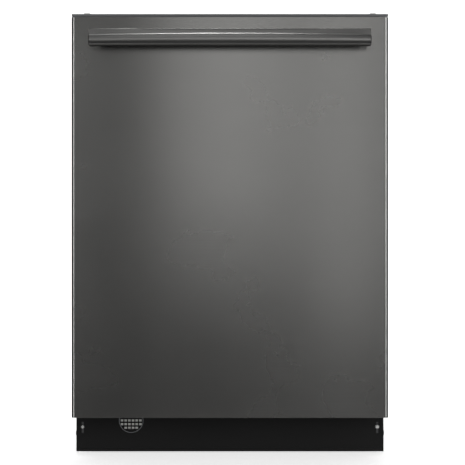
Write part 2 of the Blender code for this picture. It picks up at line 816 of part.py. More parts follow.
# ---------------------------------------------------------------- base
def base_pan(paint):
    """The moulded base: a tray with side walls, bosses for the feet and seats for the springs."""
    pan = box(
        "base_pan",
        (-BASE_X, BASE_Y, BASE_BOTTOM),
        (BASE_X, BASE_BACK, BASE_TOP),
        paint["dark_plastic"],
    )
    hollow = box(
        "base_hollow",
        (-BASE_X + BASE_WALL, BASE_Y + BASE_WALL, BASE_BOTTOM + BASE_WALL),
        (BASE_X - BASE_WALL, BASE_BACK - BASE_WALL, BASE_TOP + 0.02),
    )
    cut(pan, hollow)
    mouth = box(
        "base_mouth",
        (-BASE_X + 0.030, BASE_Y - 0.01, BASE_BOTTOM + 0.010),
        (BASE_X - 0.030, BASE_Y + 0.01, BASE_TOP + 0.02),
    )
    cut(pan, mouth)
    for name, x, y in foot_places():
        boss = rod(
            f"{name}_boss", BOSS_RADIUS,
            (x, y, BASE_BOTTOM - 0.006), (x, y, BASE_BOTTOM + 0.030), sides=14,
        )
        bore = rod(
            f"{name}_bore", STEM_RADIUS + RUNNING,
            (x, y, BASE_BOTTOM - 0.02), (x, y, BASE_BOTTOM + 0.05), sides=14,
        )
        join(pan, boss)
        cut(pan, bore)
    for name, side in both_sides():
        seat = side_box(
            f"spring_seat_{name}", side, ROD_X - 0.010, BASE_X - 0.001,
            (SEAT_Y - 0.004, HINGE_Z - 0.012), (SEAT_Y, HINGE_Z + 0.010),
        )
        hole = rod(
            f"seat_hole_{name}", ROD_RADIUS + RUNNING,
            (side * ROD_X, SEAT_Y - 0.02, HINGE_Z), (side * ROD_X, SEAT_Y + 0.02, HINGE_Z), sides=12,
        )
        entry = side_box(
            f"rod_entry_{name}", side, ROD_X - 0.010, BASE_X - BASE_WALL,
            (BASE_Y - 0.01, HINGE_Z - 0.012), (BASE_Y + 0.010, BASE_TOP + 0.02),
        )
        join(pan, seat)
        cut(pan, hole, entry)
    return pan


def foot_places():
    """Name and place of each levelling foot."""
    x = BASE_X - FOOT_INSET_X
    front, back = BASE_Y + FOOT_INSET_Y, BASE_BACK - FOOT_INSET_Y
    return (
        ("foot_front_left", -x, front), ("foot_front_right", x, front),
        ("foot_back_left", -x, back), ("foot_back_right", x, back),
    )


def levelling_feet(paint):
    for name, x, y in foot_places():
        origin = (x, y, 0)
        pad = rod(
            name, FOOT_RADIUS, (x, y, 0), (x, y, FOOT_HEIGHT),
            paint["dark_plastic"], origin, sides=16, end_radius=FOOT_RADIUS * 0.8,
        )
        stem = rod(
            f"{name}_stem", STEM_RADIUS, (x, y, FOOT_HEIGHT / 2), (x, y, STEM_TOP), sides=12,
        )
        join(pad, stem)


KICK_SCREW_X = 0.289
KICK_SCREW_Z = 0.0525
KICK_SCREW_RADIUS = 0.0042
KICK_SLOT = (0.0400, 0.0620)
SIDE_BOSS = (0.039, 0.006)


def kick_plate(paint):
    """The black toe panel, folded back at both ends, with a round patch of vent holes near one end."""
    half = WIDTH / 2 - KICK_WIDTH_INSET
    plate = box(
        "kick_plate", (-half, KICK_Y, KICK_BOTTOM), (half, KICK_Y + WALL, KICK_TOP),
        paint["black_paint"],
    )
    for name, side in both_sides():
        fold = side_box(
            f"kick_fold_{name}", side, half - WALL, half,
            (KICK_Y, KICK_BOTTOM), (KICK_Y + 0.022, KICK_TOP),
        )
        boss_z, boss_radius = SIDE_BOSS
        boss = rod(
            f"kick_boss_{name}", boss_radius,
            (side * (half - WALL / 2), KICK_Y + 0.011, boss_z), (side * WIDTH / 2, KICK_Y + 0.011, boss_z),
            sides=14, end_radius=boss_radius * 0.7,
        )
        slot = side_box(
            f"kick_slot_{name}", side, KICK_SCREW_X - 0.002, KICK_SCREW_X + 0.002,
            (KICK_Y - 0.01, KICK_SLOT[0]), (KICK_Y + 0.01, KICK_SLOT[1]),
        )
        join(plate, fold, boss)
        cut(plate, slot)
    hem = box("kick_hem", (-half, KICK_Y, KICK_BOTTOM), (half, KICK_Y + 0.010, KICK_BOTTOM + WALL))
    join(plate, hem)
    return cut(plate, block_set("vent_holes", vent_holes()))


def vent_holes():
    """One block for each hole of the round vent: whole holes only, in rows and columns."""
    wide, tall = (size / 2 for size in VENT_HOLE)
    blocks = []
    reach = int(VENT_RADIUS / VENT_PITCH)
    for row in range(-reach, reach + 1):
        for column in range(-reach, reach):
            x, z = VENT_X + (column + 0.5) * VENT_PITCH, VENT_Z + row * VENT_PITCH
            inside = math.hypot(x - VENT_X, z - VENT_Z) < VENT_RADIUS - 0.001
            if inside and z + tall < KICK_TOP - 0.003:
                blocks.append(((x - wide, KICK_Y - 0.01, z - tall), (x + wide, KICK_Y + 0.01, z + tall)))
    return blocks


def kick_screws(paint):
    """The screw near each end of the kick plate, with a cross recess in its head."""
    for name, side in both_sides():
        x = side * KICK_SCREW_X
        head = rod(
            f"kick_screw_{name}", KICK_SCREW_RADIUS,
            (x, KICK_Y - TOUCH, KICK_SCREW_Z), (x, KICK_Y - TOUCH - 0.0022, KICK_SCREW_Z),
            paint["zinc_steel"], sides=16, end_radius=KICK_SCREW_RADIUS * 0.7,
        )
        for turned, (wide, tall) in enumerate(((0.004, 0.001), (0.001, 0.004))):
            recess = box(
                f"screw_recess_{name}_{turned}",
                (x - wide / 2, KICK_Y - 0.01, KICK_SCREW_Z - tall / 2),
                (x + wide / 2, KICK_Y - TOUCH - 0.0012, KICK_SCREW_Z + tall / 2),
            )
            cut(head, recess)


def kick_vent(paint):
    """The light filter disc behind the vent holes, cut off level with the top of the kick plate."""
    near = KICK_Y + WALL + TOUCH
    disc = rod(
        "kick_vent", VENT_RADIUS + 0.003, (VENT_X, near, VENT_Z), (VENT_X, near + 0.004, VENT_Z),
        paint["light_plastic"], sides=32,
    )
    above = box(
        "vent_above", (VENT_X - 0.03, near - 0.02, KICK_TOP - 0.001), (VENT_X + 0.03, near + 0.03, KICK_TOP + 0.03)
    )
    return cut(disc, above)


# ---------------------------------------------------------------- water system
def sump_outline(grow):
    """The sump's plan, round the arm post and the fine filter, made larger all round by grow."""
    left, back = -0.032, TUB_MID_Y + 0.034
    right = FILTER_X + FILTER_RADIUS + SUMP_MARGIN
    front = TUB_MID_Y + FILTER_Y - FILTER_RADIUS - SUMP_MARGIN
    return round_corners((left - grow, front - grow), (right + grow, back + grow), 0.025 + grow, steps=3)


def filter_place():
    return FILTER_X, TUB_MID_Y + FILTER_Y


def float_place():
    return -RACK_X + 0.023, TUB_Y + 0.050


def sump(paint):
    """The bowl under the tub that the water runs into, with the post that carries the lower arm."""
    top = TUB_FLOOR - WALL - TOUCH
    bowl = extrusion("sump", sump_outline(0.004), "Z", SUMP_BOTTOM, top, paint["dark_plastic"])
    hollow = extrusion("sump_hollow", sump_outline(0.004 - PLASTIC), "Z", SUMP_BOTTOM + PLASTIC, top + 0.02)
    cut(bowl, hollow)
    post = rod(
        "arm_post", HUB_RADIUS - 0.004,
        (0, TUB_MID_Y, SUMP_BOTTOM + 0.001), (0, TUB_MID_Y, LOWER_ARM_Z - 0.001), sides=14,
    )
    journal = rod(
        "arm_journal", JOURNAL_RADIUS,
        (0, TUB_MID_Y, SUMP_BOTTOM + 0.001), (0, TUB_MID_Y, LOWER_ARM_Z + ARM_HEIGHT_Z - 0.004),
        sides=14,
    )
    return join(bowl, post, journal)


def coarse_filter(paint):
    """The perforated steel plate over the sump, with holes for the arm post and the fine filter."""
    plate = extrusion(
        "coarse_filter", sump_outline(0.008), "Z", TUB_FLOOR + TOUCH, TUB_FLOOR + TOUCH + WALL,
        paint["stainless"],
    )
    post_hole = rod(
        "plate_post_hole", HUB_RADIUS - 0.003, (0, TUB_MID_Y, 0.10), (0, TUB_MID_Y, 0.18), sides=14
    )
    filter_hole = rod(
        "plate_filter_hole", FILTER_RADIUS + RUNNING,
        (*filter_place(), 0.10), (*filter_place(), 0.18), sides=20,
    )
    return cut(plate, post_hole, filter_hole)


def fine_filter(paint):
    """The mesh cylinder that turns to unlock, with its finger grip."""
    x, y = filter_place()
    top = TUB_FLOOR + 0.006
    origin = (x, y, TUB_FLOOR)
    cup = rod(
        "fine_filter", FILTER_RADIUS - 0.002, (x, y, SUMP_BOTTOM + 0.012), (x, y, TUB_FLOOR),
        paint["grey_plastic"], origin, sides=20,
    )
    rim = rod("filter_rim", FILTER_RADIUS, (x, y, TUB_FLOOR - 0.003), (x, y, top), sides=20)
    inside = rod(
        "filter_inside", FILTER_RADIUS - 0.006,
        (x, y, SUMP_BOTTOM + 0.015), (x, y, top + 0.01), sides=20,
    )
    join(cup, rim)
    cut(cup, inside)
    grip = box(
        "filter_grip", (x - 0.003, y - FILTER_RADIUS + 0.004, TUB_FLOOR - 0.008),
        (x + 0.003, y + FILTER_RADIUS - 0.004, top + 0.004),
    )
    return join(cup, grip)


def spray_arm(name, level, paint, reach, half_width, from_below=False):
    """A flat arm that turns on a journal in its hub, narrower at its two round tips."""
    low, high = level, level + ARM_HEIGHT_Z
    tip = half_width * 0.55
    hub_end = HUB_RADIUS * 1.8
    outline = []
    for side in (1, -1):
        outline.append((side * hub_end, TUB_MID_Y - side * half_width))
        for step in range(5):
            angle = math.pi * (step / 4 - 0.5)
            x = side * (reach - tip + tip * math.cos(angle))
            outline.append((x, TUB_MID_Y + side * tip * math.sin(angle)))
        outline.append((side * hub_end, TUB_MID_Y + side * half_width))
    arm = extrusion(
        name, outline, "Z", low + 0.003, high - 0.003, paint["grey_plastic"], (0, TUB_MID_Y, level)
    )
    hub = rod(f"{name}_hub", HUB_RADIUS, (0, TUB_MID_Y, low), (0, TUB_MID_Y, high), sides=16)
    join(arm, hub)
    bottom, top = (low - 0.01, high - 0.003) if from_below else (low + 0.003, high + 0.01)
    bore = rod(
        f"{name}_bore", JOURNAL_RADIUS + RUNNING, (0, TUB_MID_Y, bottom), (0, TUB_MID_Y, top), sides=14
    )
    return cut(arm, bore)


def heater(paint):
    """The tubular heating element, a round-cornered loop over the tub floor with its ends turned down."""
    front, back = TUB_Y + 0.030, TUB_BACK - 0.030
    end_x = 0.030
    loop = round_corners((-HEATER_X, front), (HEATER_X, back), 0.07, steps=4)
    points = [(-end_x, back, TUB_FLOOR + TOUCH), (-end_x, back, HEATER_Z)]
    points += [(x, y, HEATER_Z) for x, y in loop[5:] + loop[:5]]
    points += [(end_x, back, HEATER_Z), (end_x, back, TUB_FLOOR + TOUCH)]
    return wire("heater", points, HEATER_RADIUS, paint["stainless"], sides=1)


def overfill_float(paint):
    """The float dome that lifts its stem when the water is too high."""
    x, y = float_place()
    origin = (x, y, TUB_FLOOR)
    dome = rod(
        "overfill_float", FLOAT_RADIUS, (x, y, TUB_FLOOR + TOUCH), (x, y, TUB_FLOOR + 0.022),
        paint["light_plastic"], origin, sides=18, end_radius=FLOAT_RADIUS * 0.75,
    )
    stem = rod(
        "float_stem", 0.0038, (x, y, TUB_FLOOR - 0.022), (x, y, TUB_FLOOR + 0.010), sides=10
    )
    return join(dome, stem)


def pumps(paint):
    """The circulation pump on one side of the sump and the drain pump on the other."""
    floor = BASE_BOTTOM + BASE_WALL + TOUCH
    y, z = TUB_MID_Y, 0.096
    left = -0.032 - 0.004 - TOUCH
    motor = rod(
        "circulation_pump", 0.034, (left - 0.125, y, z), (left - 0.030, y, z),
        paint["zinc_steel"], sides=20,
    )
    volute = rod("pump_volute", 0.030, (left - 0.040, y, z), (left - 0.012, y, z), sides=20)
    neck = rod("pump_neck", 0.015, (left - 0.020, y, z), (left, y, z), sides=14)
    cradle = box("pump_cradle", (left - 0.100, y - 0.020, floor), (left - 0.060, y + 0.020, z - 0.020))
    join(motor, volute, neck, cradle)
    right = FILTER_X + FILTER_RADIUS + SUMP_MARGIN + 0.004 + TOUCH
    z -= 0.004
    drain = rod(
        "drain_pump", 0.024, (right + 0.014, y, z), (right + 0.075, y, z),
        paint["dark_plastic"], sides=18,
    )
    inlet = rod("drain_neck", 0.012, (right, y, z), (right + 0.020, y, z), sides=12)
    outlet = rod(
        "drain_spigot", 0.010, (right + 0.030, y, z), (right + 0.030, BASE_BACK - BASE_WALL - TOUCH, z),
        sides=14,
    )
    join(drain, inlet, outlet)


def inlet_valve(paint):
    """The water valve at the front left, with its hose connection facing the middle."""
    x, y, z = -BASE_X + 0.085, BASE_Y + 0.044, 0.056
    floor = BASE_BOTTOM + BASE_WALL + TOUCH
    body = box(
        "inlet_valve", (x - 0.020, y - 0.014, floor), (x + 0.020, y + 0.014, z + 0.016),
        paint["light_plastic"],
    )
    thread = rod("valve_thread", 0.0125, (x + 0.015, y, z), (x + 0.042, y, z), sides=16)
    coil = rod("valve_coil", 0.012, (x, y, z + 0.010), (x, y, z + 0.044), sides=14)
    return join(body, thread, coil)


def spray_riser(paint):
    """The water channel up the back wall and along the ceiling, with the upper arm's outlet."""
    back = TUB_BACK - TOUCH
    half = 0.020
    top = TUB_TOP - TOUCH
    floor = TUB_FLOOR + TOUCH
    channel = box(
        "spray_riser", (-half, back - 0.012, floor), (half, back, top), paint["grey_plastic"]
    )
    ceiling = box("riser_top", (-half, TUB_MID_Y, top - 0.010), (half, back - 0.001, top))
    nozzle = rod(
        "riser_nozzle", 0.016, (0, TUB_MID_Y, top - 0.024), (0, TUB_MID_Y, top - 0.002), sides=20,
        end_radius=0.026,
    )
    outlet = rod(
        "riser_outlet", 0.011, (0, RACK_BACK + 0.010, UPPER_FEED_Z), (0, back - 0.006, UPPER_FEED_Z),
        sides=14,
    )
    foot = box("riser_foot", (-half, TUB_MID_Y + 0.046, floor), (half, back, floor + 0.007))
    return join(channel, ceiling, nozzle, outlet, foot)


# ---------------------------------------------------------------- racks
def cells_between(low, high, count, half):
    """The clear spaces between count + 1 wires of half thickness that run from low to high."""
    pitch = (high - low) / count
    return [(low + pitch * i + half, low + pitch * (i + 1) - half) for i in range(count)]


def block_set(name, blocks):
    """One helper mesh of many blocks, each given by its low and high corner."""
    shape = bmesh.new()
    for low, high in blocks:
        made = bmesh.ops.create_cube(shape, size=1)["verts"]
        low, high = Vector(low), Vector(high)
        bmesh.ops.scale(shape, vec=high - low, verts=made)
        bmesh.ops.translate(shape, vec=(low + high) / 2, verts=made)
    return place(name, mesh_from(shape, name), None)


def wire_basket(name, low, high, cells, material):
    """An open basket: a tray cut out between crossing wires of its floor and sides."""
    (x0, y0, z0), (x1, y1, z1) = low, high
    half, far = RACK_WIRE / 2, 0.02
    basket = box(name, (x0 - half, y0 - half, z0 - half), (x1 + half, y1 + half, z1 + half), material)
    inside = box(
        f"{name}_inside", (x0 + half, y0 + half, z0 + half), (x1 - half, y1 - half, z1 + far)
    )
    across = cells_between(x0, x1, cells[0], half)
    along = cells_between(y0, y1, cells[0], half)
    upward = cells_between(z0, z1, cells[1], half)
    floor = [((a, c, z0 - far), (b, d, z0 + far)) for a, b in across for c, d in along]
    ends = [((a, y0 - far, c), (b, y1 + far, d)) for a, b in across for c, d in upward]
    sides = [((x0 - far, a, c), (x1 + far, b, d)) for a, b in along for c, d in upward]
    return cut(
        basket, inside,
        block_set(f"{name}_floor_gaps", floor),
        block_set(f"{name}_end_gaps", ends),
        block_set(f"{name}_side_gaps", sides),
    )


def lower_rack(paint):
    low = (-RACK_X, RACK_Y + RACK_WIRE / 2, LOWER_RACK_Z + RACK_WIRE / 2)
    high = (RACK_X, RACK_BACK, LOWER_RACK_Z + LOWER_RACK_HEIGHT)
    basket = wire_basket("lower_rack", low, high, LOWER_RACK_CELLS, paint["rack_coat"])
    for name, _, y, side in wheel_places():
        hanger = side_box(
            f"{name}_hanger", side, RACK_X - 0.002, RACK_X + 0.001,
            (y - 0.007, wheel_z() - 0.006), (y + 0.007, LOWER_RACK_Z + 0.030),
        )
        axle = rod(
            f"{name}_axle", AXLE_RADIUS,
            (side * (RACK_X - 0.001), y, wheel_z()),
            (side * (RACK_X + 0.002 + WHEEL_WIDTH + 0.001), y, wheel_z()), sides=10,
        )
        join(basket, hanger, axle)
    y, z = tine_place()
    for name, side in both_sides():
        clip = side_box(
            f"tine_clip_{name}", side, tine_half() - 0.020, tine_half() - 0.014,
            (y - 0.007, LOWER_RACK_Z + 0.001), (y + 0.007, z + 0.007),
        )
        runner = side_box(
            f"tine_runner_{name}", side, tine_half() - 0.020, tine_half() - 0.014,
            (RACK_Y + 0.002, LOWER_RACK_Z), (RACK_BACK - 0.001, LOWER_RACK_Z + 0.0045),
        )
        hole = rod(
            f"clip_hole_{name}", TINE_ROD + RUNNING,
            (side * (tine_half() - 0.03), y, z), (side * (tine_half() - 0.005), y, z), sides=10,
        )
        join(basket, runner, clip)
        cut(basket, hole)
    return basket


def wheel_z():
    return TUB_FLOOR + WHEEL_RADIUS + TOUCH


def wheel_places():
    """Name, inner x, y and side of each lower rack wheel."""
    for where, y in (("front", RACK_Y + WHEEL_FROM_FRONT), ("back", RACK_BACK - WHEEL_FROM_BACK)):
        for name, side in both_sides():
            yield f"rack_wheel_{where}_{name}", side * (RACK_X + 0.002), y, side


def rack_wheels(paint):
    for name, x, y, side in wheel_places():
        tyre = rod(
            name, WHEEL_RADIUS, (x, y, wheel_z()), (x + side * WHEEL_WIDTH, y, wheel_z()),
            paint["grey_plastic"], (x, y, wheel_z()), sides=20,
        )
        bore = rod(
            f"{name}_bore", AXLE_RADIUS + RUNNING,
            (x - side * 0.01, y, wheel_z()), (x + side * 0.03, y, wheel_z()), sides=10,
        )
        cut(tyre, bore)


def tine_place():
    """The y and z of the folding row's hinge rod."""
    return TUB_MID_Y + 0.065, LOWER_RACK_Z + RACK_WIRE + 0.007


def tine_half():
    return RACK_X * 0.80


def folding_tines(paint):
    """A row of plate tines on one rod that folds down to the front."""
    y, z = tine_place()
    half = tine_half()
    row = rod("folding_tines", TINE_ROD, (-half, y, z), (half, y, z), paint["rack_coat"], (0, y, z), sides=8)
    inner = half - 0.030
    for step in range(TINE_COUNT):
        x = -inner + 2 * inner * step / (TINE_COUNT - 1)
        tine = rod(f"tine_{step}", 0.0022, (x, y, z), (x, y, z + TINE_HEIGHT), sides=6)
        join(row, tine)
    return row


def silverware_basket(paint):
    """The cutlery basket that stands at the front of the lower rack, with its partitions."""
    low_y = RACK_Y + RACK_WIRE + 0.004
    high_y = low_y + 0.070
    half = 0.150
    low_z = LOWER_RACK_Z + RACK_WIRE + TOUCH
    high_z = low_z + 0.120
    body = box("silverware_basket", (-half, low_y, low_z), (half, high_y, high_z), paint["grey_plastic"])
    cells = 4
    pitch = (2 * half - PLASTIC) / cells
    for step in range(cells):
        x0 = -half + PLASTIC + step * pitch
        hollow = box(
            f"basket_cell_{step}",
            (x0, low_y + PLASTIC, low_z + PLASTIC),
            (x0 + pitch - PLASTIC, high_y - PLASTIC, high_z + 0.02),
        )
        cut(body, hollow)
    return body


def rail_section(name, side, outer, depth, height, wall, material):
    """A channel open towards the middle of the tub, as long as RAIL_LENGTH."""
    low_y = RACK_Y + 0.012
    rail = side_box(
        name, side, outer - depth, outer,
        (low_y, RAIL_Z - height / 2), (low_y + RAIL_LENGTH, RAIL_Z + height / 2), material,
    )
    hollow = side_box(
        f"{name}_hollow", side, outer - depth - 0.01, outer - wall,
        (low_y - 0.01, RAIL_Z - height / 2 + wall), (low_y + RAIL_LENGTH + 0.01, RAIL_Z + height / 2 - wall),
    )
    return cut(rail, hollow)


def upper_rails(paint):
    """On each side the rail on the tub wall and the middle member that slides in it."""
    for name, side in both_sides():
        rail_section(
            f"upper_rail_{name}", side, TUB_X - TOUCH, 0.010, RAIL_HEIGHT, WALL, paint["stainless"]
        )
        rail_section(
            f"upper_slide_{name}", side, MID_OUTER, 0.013, RAIL_HEIGHT - 2 * (WALL + RUNNING), WALL,
            paint["stainless"],
        )


def upper_rack(paint):
    """The upper basket with the slide bar on each side that runs in the middle members."""
    low = (-RACK_X, RACK_Y + RACK_WIRE / 2, UPPER_RACK_Z + RACK_WIRE / 2)
    high = (RACK_X, RACK_BACK, UPPER_RACK_Z + UPPER_RACK_HEIGHT)
    basket = wire_basket("upper_rack", low, high, UPPER_RACK_CELLS, paint["rack_coat"])
    height = RAIL_HEIGHT - 4 * (WALL + RUNNING)
    low_y = RACK_Y + 0.012
    for name, side in both_sides():
        bar = side_box(
            f"rack_bar_{name}", side, RACK_X + 0.004, MID_OUTER - WALL - RUNNING,
            (low_y, RAIL_Z - height / 2), (low_y + RAIL_LENGTH, RAIL_Z + height / 2),
        )
        join(basket, bar)
        for step in (0.16, 0.5, 0.84):
            y = low_y + RAIL_LENGTH * step
            lug = side_box(
                f"rack_lug_{name}_{step}", side, RACK_X - 0.002, RACK_X + 0.006,
                (y - 0.012, RAIL_Z - height / 2 + 0.001),
                (y + 0.012, UPPER_RACK_Z + UPPER_RACK_HEIGHT + RACK_WIRE / 2 - 0.001),
            )
            join(basket, lug)
    return basket


def upper_feed_tube(paint):
    """The tube under the upper rack that brings water to its arm, and the journal the arm turns on."""
    tube = box(
        "upper_feed_tube", (-0.010, TUB_MID_Y - 0.012, UPPER_RACK_Z - 0.017),
        (0.010, RACK_BACK + 0.004, UPPER_RACK_Z - TOUCH), paint["grey_plastic"],
    )
    collar = rod(
        "feed_collar", 0.012,
        (0, TUB_MID_Y, UPPER_ARM_Z + ARM_HEIGHT_Z + 0.001), (0, TUB_MID_Y, UPPER_RACK_Z - 0.004),
        sides=14,
    )
    journal = rod(
        "feed_journal", JOURNAL_RADIUS,
        (0, TUB_MID_Y, UPPER_ARM_Z + 0.004), (0, TUB_MID_Y, UPPER_RACK_Z - 0.004), sides=14,
    )
    return join(tube, collar, journal)


def clear_scene():
    for old in list(bpy.data.objects):
        bpy.data.objects.remove(old)


def main():
    clear_scene()
    paint = make_materials()
    door_skin(paint)
    door_liner(paint)
    control_console(paint)
    push_buttons(paint)
    latch(paint)
    handle(paint)
    dispenser(paint)
    door_insulation(paint)
    hinges(paint)
    tub(paint)
    sound_blanket(paint)
    front_frame(paint)
    mounting_brackets(paint)
    door_gasket(paint)
    base_pan(paint)
    levelling_feet(paint)
    kick_plate(paint)
    kick_screws(paint)
    kick_vent(paint)
    sump(paint)
    coarse_filter(paint)
    fine_filter(paint)
    spray_arm("lower_spray_arm", LOWER_ARM_Z, paint, ARM_REACH, ARM_HALF_WIDTH, from_below=True)
    spray_arm("upper_spray_arm", UPPER_ARM_Z, paint, ARM_REACH, ARM_HALF_WIDTH)
    heater(paint)
    overfill_float(paint)
    pumps(paint)
    inlet_valve(paint)
    spray_riser(paint)
    lower_rack(paint)
    rack_wheels(paint)
    folding_tines(paint)
    silverware_basket(paint)
    upper_rails(paint)
    upper_rack(paint)
    upper_feed_tube(paint)


main()
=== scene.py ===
"""Built-in dishwasher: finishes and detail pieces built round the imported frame."""
import json
import math

import bmesh
import bpy
from mathutils import Matrix, Vector

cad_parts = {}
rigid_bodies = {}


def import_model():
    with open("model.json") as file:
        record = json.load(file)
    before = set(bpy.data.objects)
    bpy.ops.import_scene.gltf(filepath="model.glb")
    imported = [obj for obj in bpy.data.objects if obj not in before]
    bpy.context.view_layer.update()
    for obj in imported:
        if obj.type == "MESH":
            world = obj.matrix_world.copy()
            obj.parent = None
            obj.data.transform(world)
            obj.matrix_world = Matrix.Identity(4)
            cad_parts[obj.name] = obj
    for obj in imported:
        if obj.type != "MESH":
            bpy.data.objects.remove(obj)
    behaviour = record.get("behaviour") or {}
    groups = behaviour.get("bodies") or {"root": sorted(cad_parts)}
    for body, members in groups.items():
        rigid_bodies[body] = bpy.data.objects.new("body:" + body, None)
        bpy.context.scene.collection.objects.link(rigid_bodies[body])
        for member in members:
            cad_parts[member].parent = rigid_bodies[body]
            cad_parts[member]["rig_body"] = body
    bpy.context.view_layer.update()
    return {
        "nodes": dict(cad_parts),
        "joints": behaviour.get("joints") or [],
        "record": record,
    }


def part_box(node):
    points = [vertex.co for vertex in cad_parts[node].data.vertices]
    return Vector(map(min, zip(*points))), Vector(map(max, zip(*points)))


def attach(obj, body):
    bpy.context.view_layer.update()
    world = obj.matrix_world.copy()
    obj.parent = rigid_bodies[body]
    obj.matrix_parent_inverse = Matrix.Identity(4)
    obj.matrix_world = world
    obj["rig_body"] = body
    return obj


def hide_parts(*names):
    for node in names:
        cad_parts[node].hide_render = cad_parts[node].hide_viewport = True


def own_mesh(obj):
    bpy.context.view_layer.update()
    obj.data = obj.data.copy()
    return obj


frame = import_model()

bl_info = {
    "name": "Built-in Dishwasher",
    "version": (1, 0, 0),
    "blender": (4, 5, 0),
    "location": "3D View > Sidebar > Dishwasher",
    "description": "Builds the finished pieces of a built-in dishwasher on its frame",
    "category": "Object",
}

SLOTS = {row["node"]: row["material_slot"] for row in frame["record"]["subparts"]}
BODIES = {name: node["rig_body"] for name, node in frame["nodes"].items()}
DISSOLVE_ANGLE = math.radians(0.6)
SHARP_ANGLE = math.radians(32)
MERGE = 1e-6
CAMERA_SPOT = (0.005, -3.2715, 0.4336)
CAMERA_LENS = 121.3

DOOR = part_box("door_skin")
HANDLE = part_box("handle_bar")
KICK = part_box("kick_plate")
LOWER_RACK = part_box("lower_rack")
UPPER_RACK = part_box("upper_rack")
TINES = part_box("folding_tines")
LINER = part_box("door_liner")

BAR_DEPTH = 0.019
BAR_ROUND = 0.011
BAR_STATIONS = 33
BAR_STEPS = 20
BAR_END_EASE = 0.0016
POST_OUTER = 0.030
POST_INNER = 0.056
POST_SETBACK = 0.016
POST_HEIGHTS = (0.791, 0.809)
RING_INSET = 0.0022
RING_WIRE = 0.0006
RING_STEPS = 28
BASKET_HALF_WIDTH = 0.2395
LOWER_FLOOR = 0.188
UPPER_HEIGHTS = (0.500, 0.635)
HANGER_X = 0.2365
HANGER_TOP = 0.225
HANGER_SPREAD = 0.020
AXLE_RADIUS = 0.0031
TINE_ROD_RADIUS = 0.0026
SLIDE_BAR_X = 0.2405
LUG_X = (0.2382, 0.2412)
LUG_SHARES = (0.16, 0.5, 0.84)
LUG_HALF_LENGTH = 0.009
LUG_RISE = 0.0022

# Each strip up the sides of the door: its name, slot, finish and outline in plan, measured inward from
# the side of the door and backward from its face.
EDGE_STRIPS = (
    # the fold: metal much lighter than the black steel sheet, a painted highlight over its real reflection of
    # the side lights
    ("door_fold", "black_steel", "polished_edge", (
        (0.0050, 0.0004), (0.0048, -0.00025), (0.0042, -0.0003),
        (0.0034, -0.0001), (0.0031, 0.0006), (0.0036, 0.0018),
    )),
    # a dark rubber strip standing for a narrow groove beside the fold: painted groove shade
    ("door_seam", "black_paint", "seal_rubber", (
        (0.0060, 0.0004), (0.0059, -0.0001), (0.0051, -0.0001), (0.0050, 0.0004),
    )),
    # a black strip over the sheet's outer rounding: painted shade where the rounding turns away from the
    # lights
    ("door_edge", "black_paint", "black_paint", (
        (0.0032, 0.0002), (0.0012, 0.0004), (0.0002, 0.0010), (-0.0002, 0.0030),
        (-0.0002, 0.0090), (0.0010, 0.0090), (0.0032, 0.0030),
    )),
)


# ---------------------------------------------------------------- shader groups
class Sheet:
    """A node tree under construction, with short calls to add and join its nodes."""

    def __init__(self, tree):
        self.tree = tree

    def add(self, kind, inputs=(), **settings):
        node = self.tree.nodes.new(kind)
        for name, value in settings.items():
            setattr(node, name, value)
        for key, value in dict(inputs).items():
            socket = node.inputs[key]
            if isinstance(value, bpy.types.NodeSocket):
                self.tree.links.new(value, socket)
            else:
                socket.default_value = value
        return node


def shader_group(name, inputs, outputs):
    """An empty shader group with float inputs and the given outputs."""
    tree = bpy.data.node_groups.new(name, "ShaderNodeTree")
    for label, value in inputs.items():
        socket = tree.interface.new_socket(label, in_out="INPUT", socket_type="NodeSocketFloat")
        socket.default_value = value
    for label, kind in outputs.items():
        tree.interface.new_socket(label, in_out="OUTPUT", socket_type=kind)
    sheet = Sheet(tree)
    return sheet, sheet.add("NodeGroupInput"), sheet.add("NodeGroupOutput")


def brushed_grain():
    """Long fine scratches that run along X."""
    sheet, source, out = shader_group(
        "Brushed Grain",
        {"Along": 6.0, "Across": 1400.0, "Depth": 0.1},
        {"Streaks": "NodeSocketFloat", "Normal": "NodeSocketVector"},
    )
    place = sheet.add("ShaderNodeTexCoord")
    scale = sheet.add(
        "ShaderNodeCombineXYZ",
        {"X": source.outputs["Along"], "Y": source.outputs["Across"], "Z": source.outputs["Across"]},
    )
    stretched = sheet.add(
        "ShaderNodeVectorMath", {0: place.outputs["Object"], 1: scale.outputs[0]}, operation="MULTIPLY"
    )
    noise = sheet.add("ShaderNodeTexNoise", {"Vector": stretched.outputs[0], "Scale": 1.0, "Detail": 3.0})
    bump = sheet.add(
        "ShaderNodeBump",
        {"Strength": source.outputs["Depth"], "Distance": 0.0004, "Height": noise.outputs[0]},
    )
    sheet.tree.links.new(noise.outputs[0], out.inputs["Streaks"])
    sheet.tree.links.new(bump.outputs[0], out.inputs["Normal"])
    return sheet.tree


def moulded_grain():
    """The fine pebble of a moulded or coated surface."""
    sheet, source, out = shader_group(
        "Moulded Grain",
        {"Scale": 900.0, "Depth": 0.1},
        {"Streaks": "NodeSocketFloat", "Normal": "NodeSocketVector"},
    )
    place = sheet.add("ShaderNodeTexCoord")
    noise = sheet.add(
        "ShaderNodeTexNoise",
        {"Vector": place.outputs["Object"], "Scale": source.outputs["Scale"], "Detail": 2.0},
    )
    bump = sheet.add(
        "ShaderNodeBump",
        {"Strength": source.outputs["Depth"], "Distance": 0.0005, "Height": noise.outputs[0]},
    )
    sheet.tree.links.new(noise.outputs[0], out.inputs["Streaks"])
    sheet.tree.links.new(bump.outputs[0], out.inputs["Normal"])
    return sheet.tree


